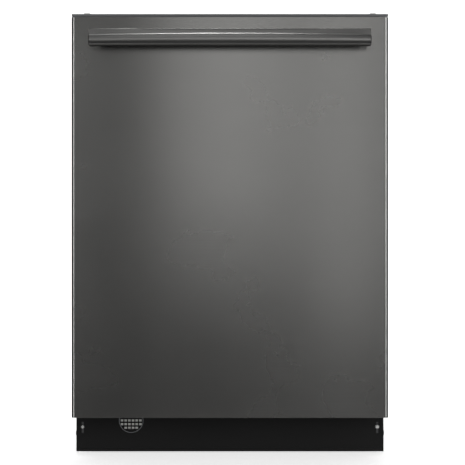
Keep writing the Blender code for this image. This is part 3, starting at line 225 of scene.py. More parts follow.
def felt_fibres():
    """Matted fibres: bent noise over small cells."""
    sheet, source, out = shader_group(
        "Felt Fibres",
        {"Scale": 260.0, "Depth": 0.6},
        {"Streaks": "NodeSocketFloat", "Normal": "NodeSocketVector"},
    )
    place = sheet.add("ShaderNodeTexCoord")
    noise = sheet.add(
        "ShaderNodeTexNoise",
        {
            "Vector": place.outputs["Object"], "Scale": source.outputs["Scale"],
            "Detail": 6.0, "Distortion": 2.5,
        },
    )
    bump = sheet.add(
        "ShaderNodeBump",
        {"Strength": source.outputs["Depth"], "Distance": 0.002, "Height": noise.outputs[0]},
    )
    sheet.tree.links.new(noise.outputs[0], out.inputs["Streaks"])
    sheet.tree.links.new(bump.outputs[0], out.inputs["Normal"])
    return sheet.tree


def handling_marks():
    """Slow changes of gloss from wiping and handling."""
    sheet, source, out = shader_group(
        "Handling Marks",
        {"Scale": 5.0, "Smooth": 0.3, "Rough": 0.4},
        {"Roughness": "NodeSocketFloat", "Mask": "NodeSocketFloat"},
    )
    place = sheet.add("ShaderNodeTexCoord")
    noise = sheet.add(
        "ShaderNodeTexNoise",
        {"Vector": place.outputs["Object"], "Scale": source.outputs["Scale"], "Detail": 5.0},
    )
    spread = sheet.add(
        "ShaderNodeMapRange",
        {
            "Value": noise.outputs[0], "From Min": 0.3, "From Max": 0.7,
            "To Min": source.outputs["Smooth"], "To Max": source.outputs["Rough"],
        },
    )
    sheet.tree.links.new(spread.outputs[0], out.inputs["Roughness"])
    sheet.tree.links.new(noise.outputs[0], out.inputs["Mask"])
    return sheet.tree


GROUP_MAKERS = {
    "Brushed Grain": brushed_grain,
    "Moulded Grain": moulded_grain,
    "Felt Fibres": felt_fibres,
    "Handling Marks": handling_marks,
}

# Each finish: two colours that the grain mixes, smooth and rough limits, metallic, the grain and its
# values, and any values that are the same all over.
FINISHES = {
    "black_steel": {
        "colours": ((0.128, 0.127, 0.123), (0.160, 0.159, 0.154)), "rough": (0.25, 0.28), "metal": 1.0,
        "grain": ("Brushed Grain", {"Along": 5.0, "Across": 1500.0, "Depth": 0.10}),
    },
    "black_handle": {
        "colours": ((0.130, 0.129, 0.126), (0.160, 0.159, 0.155)), "rough": (0.33, 0.37), "metal": 1.0,
        "grain": ("Brushed Grain", {"Along": 8.0, "Across": 2200.0, "Depth": 0.03}),
    },
    "stainless": {
        "colours": ((0.50, 0.50, 0.49), (0.58, 0.58, 0.57)), "rough": (0.24, 0.34), "metal": 1.0,
        "grain": ("Brushed Grain", {"Along": 12.0, "Across": 1100.0, "Depth": 0.12}),
    },
    "zinc_steel": {
        "colours": ((0.40, 0.41, 0.41), (0.52, 0.53, 0.52)), "rough": (0.34, 0.48), "metal": 1.0,
        "grain": ("Moulded Grain", {"Scale": 160.0, "Depth": 0.08}),
    },
    # Also used for the black strip of painted shade over the door sheet's outer rounding
    "black_paint": {
        "colours": ((0.0022, 0.0022, 0.0022), (0.0034, 0.0034, 0.0034)), "rough": (0.34, 0.46), "metal": 0.0,
        "grain": ("Moulded Grain", {"Scale": 1400.0, "Depth": 0.14}), "fixed": {"Specular IOR Level": 0.12},
    },
    "dark_plastic": {
        "colours": ((0.016, 0.016, 0.018), (0.024, 0.024, 0.026)), "rough": (0.42, 0.55), "metal": 0.0,
        "grain": ("Moulded Grain", {"Scale": 1300.0, "Depth": 0.16}),
    },
    "grey_plastic": {
        "colours": ((0.135, 0.140, 0.148), (0.155, 0.160, 0.168)), "rough": (0.38, 0.50), "metal": 0.0,
        "grain": ("Moulded Grain", {"Scale": 1200.0, "Depth": 0.14}),
    },
    "light_plastic": {
        "colours": ((0.50, 0.50, 0.48), (0.56, 0.56, 0.54)), "rough": (0.36, 0.50), "metal": 0.0,
        "grain": ("Moulded Grain", {"Scale": 1200.0, "Depth": 0.12}),
    },
    "rack_coat": {
        "colours": ((0.20, 0.215, 0.235), (0.25, 0.265, 0.285)), "rough": (0.28, 0.40), "metal": 0.0,
        "grain": ("Moulded Grain", {"Scale": 500.0, "Depth": 0.12}), "fixed": {"Coat Weight": 0.25},
    },
    # Also used for the strip of painted groove shade up the door's sides
    "seal_rubber": {
        "colours": ((0.012, 0.012, 0.012), (0.020, 0.020, 0.020)), "rough": (0.55, 0.70), "metal": 0.0,
        "grain": ("Moulded Grain", {"Scale": 700.0, "Depth": 0.2}),
    },
    "felt": {
        "colours": ((0.030, 0.030, 0.032), (0.105, 0.105, 0.110)), "rough": (0.88, 0.97), "metal": 0.0,
        "grain": ("Felt Fibres", {"Scale": 240.0, "Depth": 0.7}), "fixed": {"Sheen Weight": 0.2},
    },
    "smoked_glass": {
        "colours": ((0.004, 0.004, 0.005), (0.006, 0.006, 0.007)), "rough": (0.05, 0.12), "metal": 0.0,
        "grain": ("Moulded Grain", {"Scale": 90.0, "Depth": 0.01}), "fixed": {"Coat Weight": 1.0},
    },
    # Painted highlight: far lighter than black_steel, for the fold up the door's sides, which is the same
    # black steel
    "polished_edge": {
        "colours": ((0.56, 0.56, 0.55), (0.64, 0.64, 0.63)), "rough": (0.40, 0.46), "metal": 1.0,
        "grain": ("Moulded Grain", {"Scale": 400.0, "Depth": 0.04}),
    },
    "bright_screw": {
        "colours": ((0.62, 0.62, 0.61), (0.70, 0.70, 0.69)), "rough": (0.20, 0.30), "metal": 1.0,
        "grain": ("Moulded Grain", {"Scale": 900.0, "Depth": 0.05}),
    },
}


def shader_tree(name):
    """The shared shader group of that name, built once."""
    return bpy.data.node_groups.get(name) or GROUP_MAKERS[name]()


def finish(name):
    """The material of that finish, built once."""
    made = bpy.data.materials.get(f"{name}_finish")
    if made:
        return made
    spec = FINISHES[name]
    made = bpy.data.materials.new(f"{name}_finish")
    made.use_nodes = True
    made.node_tree.nodes.clear()
    sheet = Sheet(made.node_tree)
    grain_name, values = spec["grain"]
    grain = sheet.add("ShaderNodeGroup", node_tree=shader_tree(grain_name))
    for label, value in values.items():
        grain.inputs[label].default_value = value
    marks = sheet.add("ShaderNodeGroup", node_tree=shader_tree("Handling Marks"))
    marks.inputs["Smooth"].default_value, marks.inputs["Rough"].default_value = spec["rough"]
    dark, light = spec["colours"]
    colour = sheet.add(
        "ShaderNodeMix", {0: grain.outputs["Streaks"], 6: (*dark, 1.0), 7: (*light, 1.0)}, data_type="RGBA"
    )
    shader = sheet.add(
        "ShaderNodeBsdfPrincipled",
        {
            "Base Color": colour.outputs[2], "Roughness": marks.outputs["Roughness"],
            "Metallic": spec["metal"], "Normal": grain.outputs["Normal"], **spec.get("fixed", {}),
        },
    )
    sheet.add("ShaderNodeOutputMaterial", {"Surface": shader.outputs[0]})
    return made


# ---------------------------------------------------------------- meshes
def put(name, mesh):
    """A new object in the scene that holds the mesh, at the origin."""
    piece = bpy.data.objects.new(name, mesh)
    bpy.context.scene.collection.objects.link(piece)
    return piece


def settle(piece, node, *others, material=None):
    """Gives a finished piece its body, hides the nodes it stands for and gives it its material, by default
    the finish of the node's slot.
    """
    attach(piece, BODIES[node])
    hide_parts(node, *others)
    if material or not piece.data.materials:
        piece.data.materials.clear()
        piece.data.materials.append(finish(material or SLOTS[node]))
    return piece


def settle_detail(piece, body, slot, material=None):
    """Gives a detail that stands for no node its body and its material, by default the finish of the slot."""
    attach(piece, body)
    piece.data.materials.clear()
    piece.data.materials.append(finish(material or slot))
    return piece


def plain_mesh(piece):
    """Turns the evaluated piece into a plain mesh and drops its modifiers."""
    bpy.context.view_layer.update()
    graph = bpy.context.evaluated_depsgraph_get()
    mesh = bpy.data.meshes.new_from_object(piece.evaluated_get(graph), depsgraph=graph)
    piece.modifiers.clear()
    piece.data = mesh
    return piece


def mark_edges(shape):
    """Smooth faces with sharp edges where the surface turns."""
    for face in shape.faces:
        face.smooth = True
    for edge in shape.edges:
        edge.smooth = len(edge.link_faces) == 2 and edge.calc_face_angle(0) < SHARP_ANGLE


def eased(name, source, width, segments=2):
    """A copy of a node's mesh, merged, with every sharp edge eased by the width."""
    mesh = source.copy()
    mesh.materials.clear()
    shape = bmesh.new()
    shape.from_mesh(mesh)
    bmesh.ops.remove_doubles(shape, verts=shape.verts, dist=MERGE)
    bmesh.ops.dissolve_limit(
        shape, angle_limit=DISSOLVE_ANGLE, verts=shape.verts, edges=shape.edges, delimit={"NORMAL"}
    )
    mark_edges(shape)
    shape.to_mesh(mesh)
    shape.free()
    piece = put(name, mesh)
    bevel = piece.modifiers.new("Eased edges", "BEVEL")
    bevel.width = width
    bevel.segments = segments
    bevel.limit_method = "ANGLE"
    bevel.angle_limit = SHARP_ANGLE
    bevel.harden_normals = True
    return plain_mesh(piece)


def eased_node(node, width, segments=2, material=None, name=None):
    """The node's own shape with eased edges, put in the node's place."""
    piece = eased(name or f"{node}_piece", frame["nodes"][node].data, width, segments)
    return settle(piece, node, material=material)


def joined(name, pieces):
    """One object that holds the meshes of all the pieces, which are removed."""
    shape = bmesh.new()
    for piece in pieces:
        shape.from_mesh(piece.data)
        bpy.data.objects.remove(piece)
    mesh = bpy.data.meshes.new(name)
    shape.to_mesh(mesh)
    shape.free()
    return put(name, mesh)


def lofted(name, rings):
    """A closed solid through rings of points of the same count, capped at both ends."""
    shape = bmesh.new()
    rows = [[shape.verts.new(point) for point in ring] for ring in rings]
    count = len(rows[0])
    for first, second in zip(rows, rows[1:]):
        for index in range(count):
            after = (index + 1) % count
            shape.faces.new((first[index], first[after], second[after], second[index]))
    shape.faces.new(rows[0][::-1])
    shape.faces.new(rows[-1])
    bmesh.ops.recalc_face_normals(shape, faces=shape.faces)
    mark_edges(shape)
    mesh = bpy.data.meshes.new(name)
    shape.to_mesh(mesh)
    shape.free()
    return put(name, mesh)


def eased_block(name, low, high, width, segments=3):
    """A block with rounded edges between two corners."""
    shape = bmesh.new()
    bmesh.ops.create_cube(shape, size=1.0)
    middle = [(a + b) / 2 for a, b in zip(low, high)]
    size = [b - a for a, b in zip(low, high)]
    bmesh.ops.transform(
        shape, verts=shape.verts, matrix=Matrix.Translation(middle) @ Matrix.Diagonal((*size, 1.0))
    )
    bmesh.ops.bevel(
        shape, geom=shape.edges, offset=width, segments=segments, profile=0.5, affect="EDGES"
    )
    mark_edges(shape)
    mesh = bpy.data.meshes.new(name)
    shape.to_mesh(mesh)
    shape.free()
    return put(name, mesh)


# ---------------------------------------------------------------- geometry node trees
def geometry_tree(name, inputs):
    """An empty geometry tree with a geometry input, the named inputs and a geometry output."""
    tree = bpy.data.node_groups.new(name, "GeometryNodeTree")
    face = tree.interface
    face.new_socket("Geometry", in_out="INPUT", socket_type="NodeSocketGeometry")
    for label, kind in inputs.items():
        face.new_socket(label, in_out="INPUT", socket_type=kind)
    face.new_socket("Geometry", in_out="OUTPUT", socket_type="NodeSocketGeometry")
    sheet = Sheet(tree)
    return sheet, sheet.add("NodeGroupInput"), sheet.add("NodeGroupOutput")


def end_tree(sheet, source, out, geometry):
    """Ends a tree in Realize Instances and Set Material."""
    real = sheet.add("GeometryNodeRealizeInstances", {"Geometry": geometry})
    painted = sheet.add(
        "GeometryNodeSetMaterial", {"Geometry": real.outputs[0], "Material": source.outputs["Material"]}
    )
    sheet.tree.links.new(painted.outputs[0], out.inputs[0])


def wire_row_tree():
    """Round wire along a guide line, with its bends filleted, repeated at a step."""
    name = "Wire Row"
    if name in bpy.data.node_groups:
        return bpy.data.node_groups[name]
    sheet, source, out = geometry_tree(name, {
        "Radius": "NodeSocketFloat", "Bend": "NodeSocketFloat", "Sides": "NodeSocketInt",
        "Count": "NodeSocketInt", "Step": "NodeSocketVector", "Material": "NodeSocketMaterial",
    })
    line = sheet.add("GeometryNodeMeshToCurve", {"Mesh": source.outputs["Geometry"]})
    bent = sheet.add(
        "GeometryNodeFilletCurve",
        {"Curve": line.outputs[0], "Radius": source.outputs["Bend"], "Limit Radius": True, "Count": 4},
        mode="POLY",
    )
    profile = sheet.add(
        "GeometryNodeCurvePrimitiveCircle",
        {"Resolution": source.outputs["Sides"], "Radius": source.outputs["Radius"]}, mode="RADIUS",
    )
    tube = sheet.add(
        "GeometryNodeCurveToMesh",
        {"Curve": bent.outputs[0], "Profile Curve": profile.outputs[0], "Fill Caps": True},
    )
    smooth = sheet.add("GeometryNodeSetShadeSmooth", {"Geometry": tube.outputs[0], "Shade Smooth": True})
    spots = sheet.add(
        "GeometryNodeMeshLine", {"Count": source.outputs["Count"], "Offset": source.outputs["Step"]},
        mode="OFFSET",
    )
    row = sheet.add(
        "GeometryNodeInstanceOnPoints", {"Points": spots.outputs[0], "Instance": smooth.outputs[0]}
    )
    end_tree(sheet, source, out, row.outputs[0])
    return sheet.tree


def stud_tree():
    """A round tapered stud with a collar, set on every point of the guide."""
    name = "Studs"
    if name in bpy.data.node_groups:
        return bpy.data.node_groups[name]
    sheet, source, out = geometry_tree(name, {
        "Radius": "NodeSocketFloat", "Height": "NodeSocketFloat", "Turn": "NodeSocketVector",
        "Material": "NodeSocketMaterial",
    })
    half = sheet.add(
        "ShaderNodeMath", {0: source.outputs["Radius"], 1: 0.62}, operation="MULTIPLY"
    )
    head = sheet.add(
        "GeometryNodeMeshCone",
        {
            "Vertices": 18, "Radius Top": half.outputs[0], "Radius Bottom": source.outputs["Radius"],
            "Depth": source.outputs["Height"],
        },
    )
    wide = sheet.add("ShaderNodeMath", {0: source.outputs["Radius"], 1: 1.35}, operation="MULTIPLY")
    thin = sheet.add("ShaderNodeMath", {0: source.outputs["Height"], 1: 0.35}, operation="MULTIPLY")
    collar = sheet.add(
        "GeometryNodeMeshCylinder",
        {"Vertices": 18, "Radius": wide.outputs[0], "Depth": thin.outputs[0]},
    )
    both = sheet.add("GeometryNodeJoinGeometry")
    sheet.tree.links.new(head.outputs["Mesh"], both.inputs[0])
    sheet.tree.links.new(collar.outputs["Mesh"], both.inputs[0])
    spots = sheet.add(
        "GeometryNodeInstanceOnPoints",
        {
            "Points": source.outputs["Geometry"], "Instance": both.outputs[0],
            "Rotation": source.outputs["Turn"],
        },
    )
    end_tree(sheet, source, out, spots.outputs[0])
    return sheet.tree


def coil_tree():
    """A wire wound into a helix along Y."""
    name = "Coil"
    if name in bpy.data.node_groups:
        return bpy.data.node_groups[name]
    sheet, source, out = geometry_tree(name, {
        "Turns": "NodeSocketFloat", "Coil Radius": "NodeSocketFloat", "Length": "NodeSocketFloat",
        "Wire": "NodeSocketFloat", "Start": "NodeSocketVector", "Material": "NodeSocketMaterial",
    })
    helix = sheet.add(
        "GeometryNodeCurveSpiral",
        {
            "Resolution": 20, "Rotations": source.outputs["Turns"],
            "Start Radius": source.outputs["Coil Radius"], "End Radius": source.outputs["Coil Radius"],
            "Height": source.outputs["Length"],
        },
    )
    laid = sheet.add(
        "GeometryNodeTransform",
        {
            "Geometry": helix.outputs[0], "Translation": source.outputs["Start"],
            "Rotation": (-math.pi / 2, 0.0, 0.0),
        },
    )
    profile = sheet.add(
        "GeometryNodeCurvePrimitiveCircle", {"Resolution": 8, "Radius": source.outputs["Wire"]}, mode="RADIUS"
    )
    tube = sheet.add(
        "GeometryNodeCurveToMesh",
        {"Curve": laid.outputs[0], "Profile Curve": profile.outputs[0], "Fill Caps": True},
    )
    smooth = sheet.add("GeometryNodeSetShadeSmooth", {"Geometry": tube.outputs[0], "Shade Smooth": True})
    end_tree(sheet, source, out, smooth.outputs[0])
    return sheet.tree


def grown(name, guide, tree, values):
    """The plain mesh that a geometry tree makes from a guide of points and edges."""
    points, edges = guide
    mesh = bpy.data.meshes.new(name)
    mesh.from_pydata([tuple(p) for p in points], edges, [])
    piece = put(name, mesh)
    modifier = piece.modifiers.new(tree.name, "NODES")
    modifier.node_group = tree
    sockets = {
        item.name: item.identifier
        for item in tree.interface.items_tree
        if item.item_type == "SOCKET" and item.in_out == "INPUT"
    }
    for label, value in values.items():
        modifier[sockets[label]] = value
    return plain_mesh(piece)


def wire_row(name, points, count, step, radius, closed=False, bend=0.008, sides=8, material="rack_coat"):
    """Wire along the points, repeated at a step."""
    last = len(points) - 1
    edges = [(i, i + 1) for i in range(last)] + ([(last, 0)] if closed else [])
    return grown(name, (points, edges), wire_row_tree(), {
        "Radius": radius, "Bend": bend, "Sides": sides, "Count": count, "Step": step,
        "Material": finish(material),
    })


def studs(name, points, radius, height, turn, material):
    """A stud on every point."""
    return grown(name, (points, []), stud_tree(), {
        "Radius": radius, "Height": height, "Turn": turn, "Material": finish(material),
    })


# ---------------------------------------------------------------- settings
class DoorSettings(bpy.types.PropertyGroup):
    edge: bpy.props.FloatProperty(
        name="Edge easing", description="Width of the eased edges of the door sheet",
        default=0.0003, unit="LENGTH",
    )


class HandleSettings(bpy.types.PropertyGroup):
    crown: bpy.props.FloatProperty(
        name="Crown", description="How much higher the bar's front is in the middle than at its ends",
        default=0.0030, unit="LENGTH",
    )
    bow: bpy.props.FloatProperty(
        name="Bow", description="How far the bar's front stands out in the middle",
        default=0.0020, unit="LENGTH",
    )
    lip: bpy.props.FloatProperty(
        name="Back lip", description="Height of the thin lip above the bar",
        default=0.0085, unit="LENGTH",
    )


class RackSettings(bpy.types.PropertyGroup):
    wire: bpy.props.FloatProperty(
        name="Wire radius", description="Radius of the thin rack wires", default=0.0016, unit="LENGTH"
    )
    rim: bpy.props.FloatProperty(
        name="Rim radius", description="Radius of the thick rim wires", default=0.0025, unit="LENGTH"
    )
    wires: bpy.props.IntProperty(
        name="Wires", description="Wires across each rack", default=15, min=4, max=40
    )


class SpraySettings(bpy.types.PropertyGroup):
    jets: bpy.props.IntProperty(
        name="Jets", description="Jets on each half of a spray arm", default=6, min=1, max=12
    )


class SpringSettings(bpy.types.PropertyGroup):
    turns: bpy.props.FloatProperty(
        name="Turns", description="Turns of each door spring", default=22.0, min=4.0, max=60.0
    )
    wire: bpy.props.FloatProperty(
        name="Wire radius", description="Radius of the spring wire", default=0.0010, unit="LENGTH"
    )


class StageSettings(bpy.types.PropertyGroup):
    floor: bpy.props.FloatVectorProperty(
        name="Floor colour", description="Colour of the pale floor and backdrop", subtype="COLOR",
        default=(0.86, 0.86, 0.86), min=0.0, max=1.0,
    )


SETTINGS = {
    "dishwasher_door": DoorSettings,
    "dishwasher_handle": HandleSettings,
    "dishwasher_racks": RackSettings,
    "dishwasher_spray": SpraySettings,
    "dishwasher_springs": SpringSettings,
    "dishwasher_stage": StageSettings,
}


# ---------------------------------------------------------------- operators
class DISHWASHER_OT_door(bpy.types.Operator):
    """Build the brushed door sheet, its liner, felt pad and top console"""

    bl_idname = "dishwasher.door"
    bl_label = "Door"

    def execute(self, context):
        edge = context.scene.dishwasher_door.edge
        eased_node("door_skin", edge, name="door_sheet")
        eased_node("door_liner", edge)
        eased_node("door_insulation", 0.002, 3)
        eased_node("control_console", 0.0005)
        eased_node("control_display", 0.0008, material="smoked_glass")
        for node in ("power_button", "cycle_button", "delay_button", "start_button"):
            eased_node(node, 0.0009, 3)
        return {"FINISHED"}


def upright_strip(name, outline, low_z, high_z, side):
    """A slender strip up the door's edge, from its outline in plan, mirrored for the left."""
    rings = [[(side * x, y, z) for x, y in outline] for z in (low_z, high_z)]
    return lofted(name, rings)


class DISHWASHER_OT_door_edges(bpy.types.Operator):
    """Build the fold up each side of the door, lighter than the sheet as a painted highlight, with a dark
    strip of painted groove shade and a black strip of painted shade over the outer rounding beside it
    """

    bl_idname = "dishwasher.door_edges"
    bl_label = "Door edges"

    def execute(self, context):
        low, high = DOOR
        edge, front = high.x, low.y
        bottom, top = low.z + 0.0006, high.z - 0.0006
        for name, slot, material, profile in EDGE_STRIPS:
            outline = [(edge - inward, front + backward) for inward, backward in profile]
            pieces = [upright_strip(name, outline, bottom, top, side) for side in (-1, 1)]
            settle_detail(joined(f"{name}_strips", pieces), "door", slot, material)
        return {"FINISHED"}


class DISHWASHER_OT_liner_screws(bpy.types.Operator):
    """Set the screws that hold the liner to the door, down both of its sides"""

    bl_idname = "dishwasher.liner_screws"
    bl_label = "Liner screws"

    def execute(self, context):
        low, high = LINER
        height = high.z - low.z
        spots = []
        for x in (low.x + 0.006, high.x - 0.006):
            for share in (0.06, 0.24, 0.42, 0.60, 0.78, 0.94):
                spots.append((x, high.y + 0.0004, low.z + height * share))
        piece = studs("liner_screws", spots, 0.0032, 0.0016, (-math.pi / 2, 0.0, 0.0), "bright_screw")
        settle_detail(piece, "door", "zinc_steel", "bright_screw")
        return {"FINISHED"}


def bar_ring(x, half, settings):
    """One cross-section of the handle bar, at a place along it."""
    low, high = HANDLE
    share = 1 - (x / half) ** 2
    front = low.y + settings.bow * (1 - share)
    back = low.y + BAR_DEPTH
    base = low.z
    lip_top = high.z
    face_top = lip_top - settings.lip - settings.crown * (1 - share)
    middle, reach = (base + face_top) / 2, (face_top - base) / 2
    ring = []
    for step in range(BAR_STEPS + 1):
        angle = math.pi / 2 + math.pi * step / BAR_STEPS
        cos, sin = math.cos(angle), math.sin(angle)
        ring.append((x, front + BAR_ROUND * (1 + cos), middle + reach * sin))
    ring.append((x, back - 0.0010, base))
    ring.append((x, back, base + 0.0010))
    ring.append((x, back, lip_top - 0.0012))
    ring.append((x, back - 0.0012, lip_top))
    ring.append((x, back - 0.0022, lip_top))
    ring.append((x, back - 0.0030, lip_top - 0.0006))
    ring.append((x, max(front + 0.0118, back - 0.0072), face_top + 0.0002))
    return ring


def drawn_in(ring, x, ease):
    """The ring moved to the bar's end and shrunk a little, so that the end's rim is eased."""
    y = sum(point[1] for point in ring) / len(ring)
    z = sum(point[2] for point in ring) / len(ring)
    made = []
    for point in ring:
        inward = Vector((0, y - point[1], z - point[2])).normalized() * ease
        made.append((x, point[1] + inward.y, point[2] + inward.z))
    return made


class DISHWASHER_OT_handle(bpy.types.Operator):
    """Build the full-width bar handle with its back lip and two posts"""

    bl_idname = "dishwasher.handle"
    bl_label = "Handle"

    def execute(self, context):
        settings = context.scene.dishwasher_handle
        low, high = HANDLE
        half = high.x
        ease = BAR_END_EASE
        rings = []
        for station in range(BAR_STATIONS):
            x = -half + ease + 2 * (half - ease) * station / (BAR_STATIONS - 1)
            rings.append(bar_ring(x, half, settings))
        rings.insert(0, drawn_in(rings[0], -half, ease))
        rings.append(drawn_in(rings[-1], half, ease))
        bar = lofted("handle_bar_bar", rings)
        posts = []
        for side in (-1, 1):
            inner, outer = half - POST_INNER, half - POST_OUTER
            x0, x1 = sorted((side * inner, side * outer))
            posts.append(eased_block(
                "handle_post", (x0, low.y + POST_SETBACK, POST_HEIGHTS[0]),
                (x1, high.y, POST_HEIGHTS[1]), 0.002,
            ))
        piece = joined("handle_bar_piece", [bar, *posts])
        settle(piece, "handle_bar")
        return {"FINISHED"}


class DISHWASHER_OT_latch(bpy.types.Operator):
    """Build the door catch and the strike that it closes on"""

    bl_idname = "dishwasher.latch"
    bl_label = "Latch"

    def execute(self, context):
        for node in ("latch_catch", "latch_strike"):
            eased_node(node, 0.0004)
        return {"FINISHED"}


class DISHWASHER_OT_dispenser(bpy.types.Operator):
    """Build the detergent dispenser, its sliding lid and the rinse-aid cap"""

    bl_idname = "dishwasher.dispenser"
    bl_label = "Dispenser"

    def execute(self, context):
        eased_node("dispenser_housing", 0.0009, 3)
        eased_node("dispenser_lid", 0.0007, 3, material="light_plastic")
        eased_node("rinse_cap", 0.0006, 3)
        return {"FINISHED"}


class DISHWASHER_OT_hinges(bpy.types.Operator):
    """Build the hinge arms, the counterbalance rods and the coil springs round them"""

    bl_idname = "dishwasher.hinges"
    bl_label = "Hinges and springs"

    def execute(self, context):
        settings = context.scene.dishwasher_springs
        for side in ("left", "right"):
            eased_node(f"hinge_arm_{side}", 0.0004)
            eased_node(f"spring_rod_{side}", 0.0003, 1)
            node = f"door_spring_{side}"
            low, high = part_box(node)
            radius = (high.z - low.z) / 2 - settings.wire
            length = high.y - low.y - 2 * settings.wire
            start = ((low.x + high.x) / 2, low.y + settings.wire, (low.z + high.z) / 2)
            piece = grown(f"{node}_coil", ([(0, 0, 0)], []), coil_tree(), {
                "Turns": settings.turns, "Coil Radius": radius, "Length": length,
                "Wire": settings.wire, "Start": start, "Material": finish("zinc_steel"),
            })
            settle(piece, node)
            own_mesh(piece)
        return {"FINISHED"}


class DISHWASHER_OT_cabinet(bpy.types.Operator):
    """Build the tub, its felt jacket, the front frame, gasket, base, feet and worktop brackets"""

    bl_idname = "dishwasher.cabinet"
    bl_label = "Cabinet"

    def execute(self, context):
        eased_node("tub", 0.0003)
        eased_node("sound_blanket", 0.003, 3)
        eased_node("front_frame", 0.0005)
        eased_node("door_gasket", 0.0016, 3)
        eased_node("base_pan", 0.0008)
        for side in ("left", "right"):
            eased_node(f"mounting_bracket_{side}", 0.0004)
            for where in ("front", "back"):
                eased_node(f"foot_{where}_{side}", 0.0006)
        return {"FINISHED"}


class DISHWASHER_OT_kick_plate(bpy.types.Operator):
    """Build the kick plate with its beads, its vent with a ring, and its screws"""

    bl_idname = "dishwasher.kick_plate"
    bl_label = "Kick plate"

    def execute(self, context):
        eased_node("kick_plate", 0.00025)
        eased_node("kick_vent", 0.0003)
        for side in ("left", "right"):
            eased_node(f"kick_screw_{side}", 0.0007, 3, material="bright_screw")
        low, high = KICK
        front = low.y
        beads = []
        for x in (low.x + 0.0036, high.x - 0.0036):
            beads.append(eased_block(
                "kick_bead", (x - 0.0011, front - 0.0009, low.z + 0.006),
                (x + 0.0011, front + 0.0003, high.z - 0.001), 0.0005,
            ))
        beads.append(eased_block(
            "kick_hem", (low.x + 0.002, front - 0.0008, low.z + 0.003),
            (high.x - 0.002, front + 0.0003, low.z + 0.0058), 0.0005,
        ))
        settle_detail(joined("kick_plate_beads", beads), "cabinet", "black_paint")
        vent_low, vent_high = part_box("kick_vent")
        radius = (vent_high.x - vent_low.x) / 2 - RING_INSET
        x, z = (vent_low.x + vent_high.x) / 2, vent_low.z + radius + RING_INSET
        reach = math.asin(min(1.0, (high.z - 0.0006 - z) / radius))
        sweep = math.pi + 2 * reach
        arc = []
        for step in range(RING_STEPS + 1):
            angle = reach - sweep * step / RING_STEPS
            arc.append((x + radius * math.cos(angle), front - 0.0002, z + radius * math.sin(angle)))
        ring = wire_row(
            "kick_vent_ring", arc, 1, (0, 0, 0), RING_WIRE, bend=0.0, material="grey_plastic"
        )
        settle_detail(ring, "cabinet", "light_plastic", "grey_plastic")
        return {"FINISHED"}


class DISHWASHER_OT_wash_system(bpy.types.Operator):
    """Build the sump, filters, heater, float, pumps, valve and spray channel"""

    bl_idname = "dishwasher.wash_system"
    bl_label = "Wash system"

    def execute(self, context):
        for node in ("sump", "circulation_pump", "drain_pump", "inlet_valve", "spray_riser"):
            eased_node(node, 0.0008)
        for node in ("coarse_filter", "fine_filter", "overfill_float", "upper_feed_tube"):
            eased_node(node, 0.0004)
        eased_node("heater", 0.0002, 1)
        return {"FINISHED"}


class DISHWASHER_OT_spray_arms(bpy.types.Operator):
    """Build both spray arms with their rows of jets"""

    bl_idname = "dishwasher.spray_arms"
    bl_label = "Spray arms"

    def execute(self, context):
        count = context.scene.dishwasher_spray.jets
        for node in ("lower_spray_arm", "upper_spray_arm"):
            eased_node(node, 0.0022, 4)
            low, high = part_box(node)
            middle = (low.y + high.y) / 2
            top = high.z - 0.003
            spots = []
            for side in (-1, 1):
                for step in range(count):
                    share = (step + 1) / (count + 0.6)
                    x = side * (0.030 + (high.x - 0.045) * share)
                    spots.append((x, middle + side * 0.004 * (-1) ** step, top + 0.0004))
            piece = studs(f"{node}_jets", spots, 0.0030, 0.0030, (0.0, 0.0, 0.0), "grey_plastic")
            settle_detail(piece, BODIES[node], "grey_plastic")
        return {"FINISHED"}


def basket_rows(name, low, high, settings, rims):
    """Bent wires both ways under an open basket, and rim wires round it at the given heights."""
    wire, rim, count = settings.wire, settings.rim, settings.wires
    x0, x1 = low.x + rim, high.x - rim
    y0, y1 = low.y + rim, high.y - rim
    floor, top = low.z + wire, high.z - rim
    gap = (y1 - y0) / (count + 1)
    rows = [wire_row(
        f"{name}_across",
        [(x0, y0 + gap, top), (x0, y0 + gap, floor), (x1, y0 + gap, floor), (x1, y0 + gap, top)],
        count, (0, gap, 0), wire, bend=0.014,
    )]
    gap = (x1 - x0) / (count + 1)
    raised = floor + 2 * wire
    rows.append(wire_row(
        f"{name}_along",
        [(x0 + gap, y0, top), (x0 + gap, y0, raised), (x0 + gap, y1, raised), (x0 + gap, y1, top)],
        count, (gap, 0, 0), wire, bend=0.014,
    ))
    for index, share in enumerate(rims):
        z = floor + 0.012 + (top - floor - 0.012) * share
        radius = rim if share == 1.0 else wire * 1.15
        rows.append(wire_row(
            f"{name}_rim_{index}", [(x0, y0, z), (x1, y0, z), (x1, y1, z), (x0, y1, z)],
            1, (0, 0, 0), radius, closed=True, bend=0.018,
        ))
    return rows


def tine_rows(name, places, x_half, count, floor, height, wire):
    """Rows of upright tines on the rack floor."""
    step = 2 * x_half / (count - 1)
    rows = []
    for index, y in enumerate(places):
        rows.append(wire_row(
            f"{name}_{index}", [(-x_half, y, floor), (-x_half, y, floor + height)],
            count, (step, 0, 0), wire, bend=0.0,
        ))
        rows.append(wire_row(
            f"{name}_bar_{index}", [(-x_half - step / 2, y, floor), (x_half + step / 2, y, floor)],
            1, (0, 0, 0), wire, bend=0.0,
        ))
    return rows


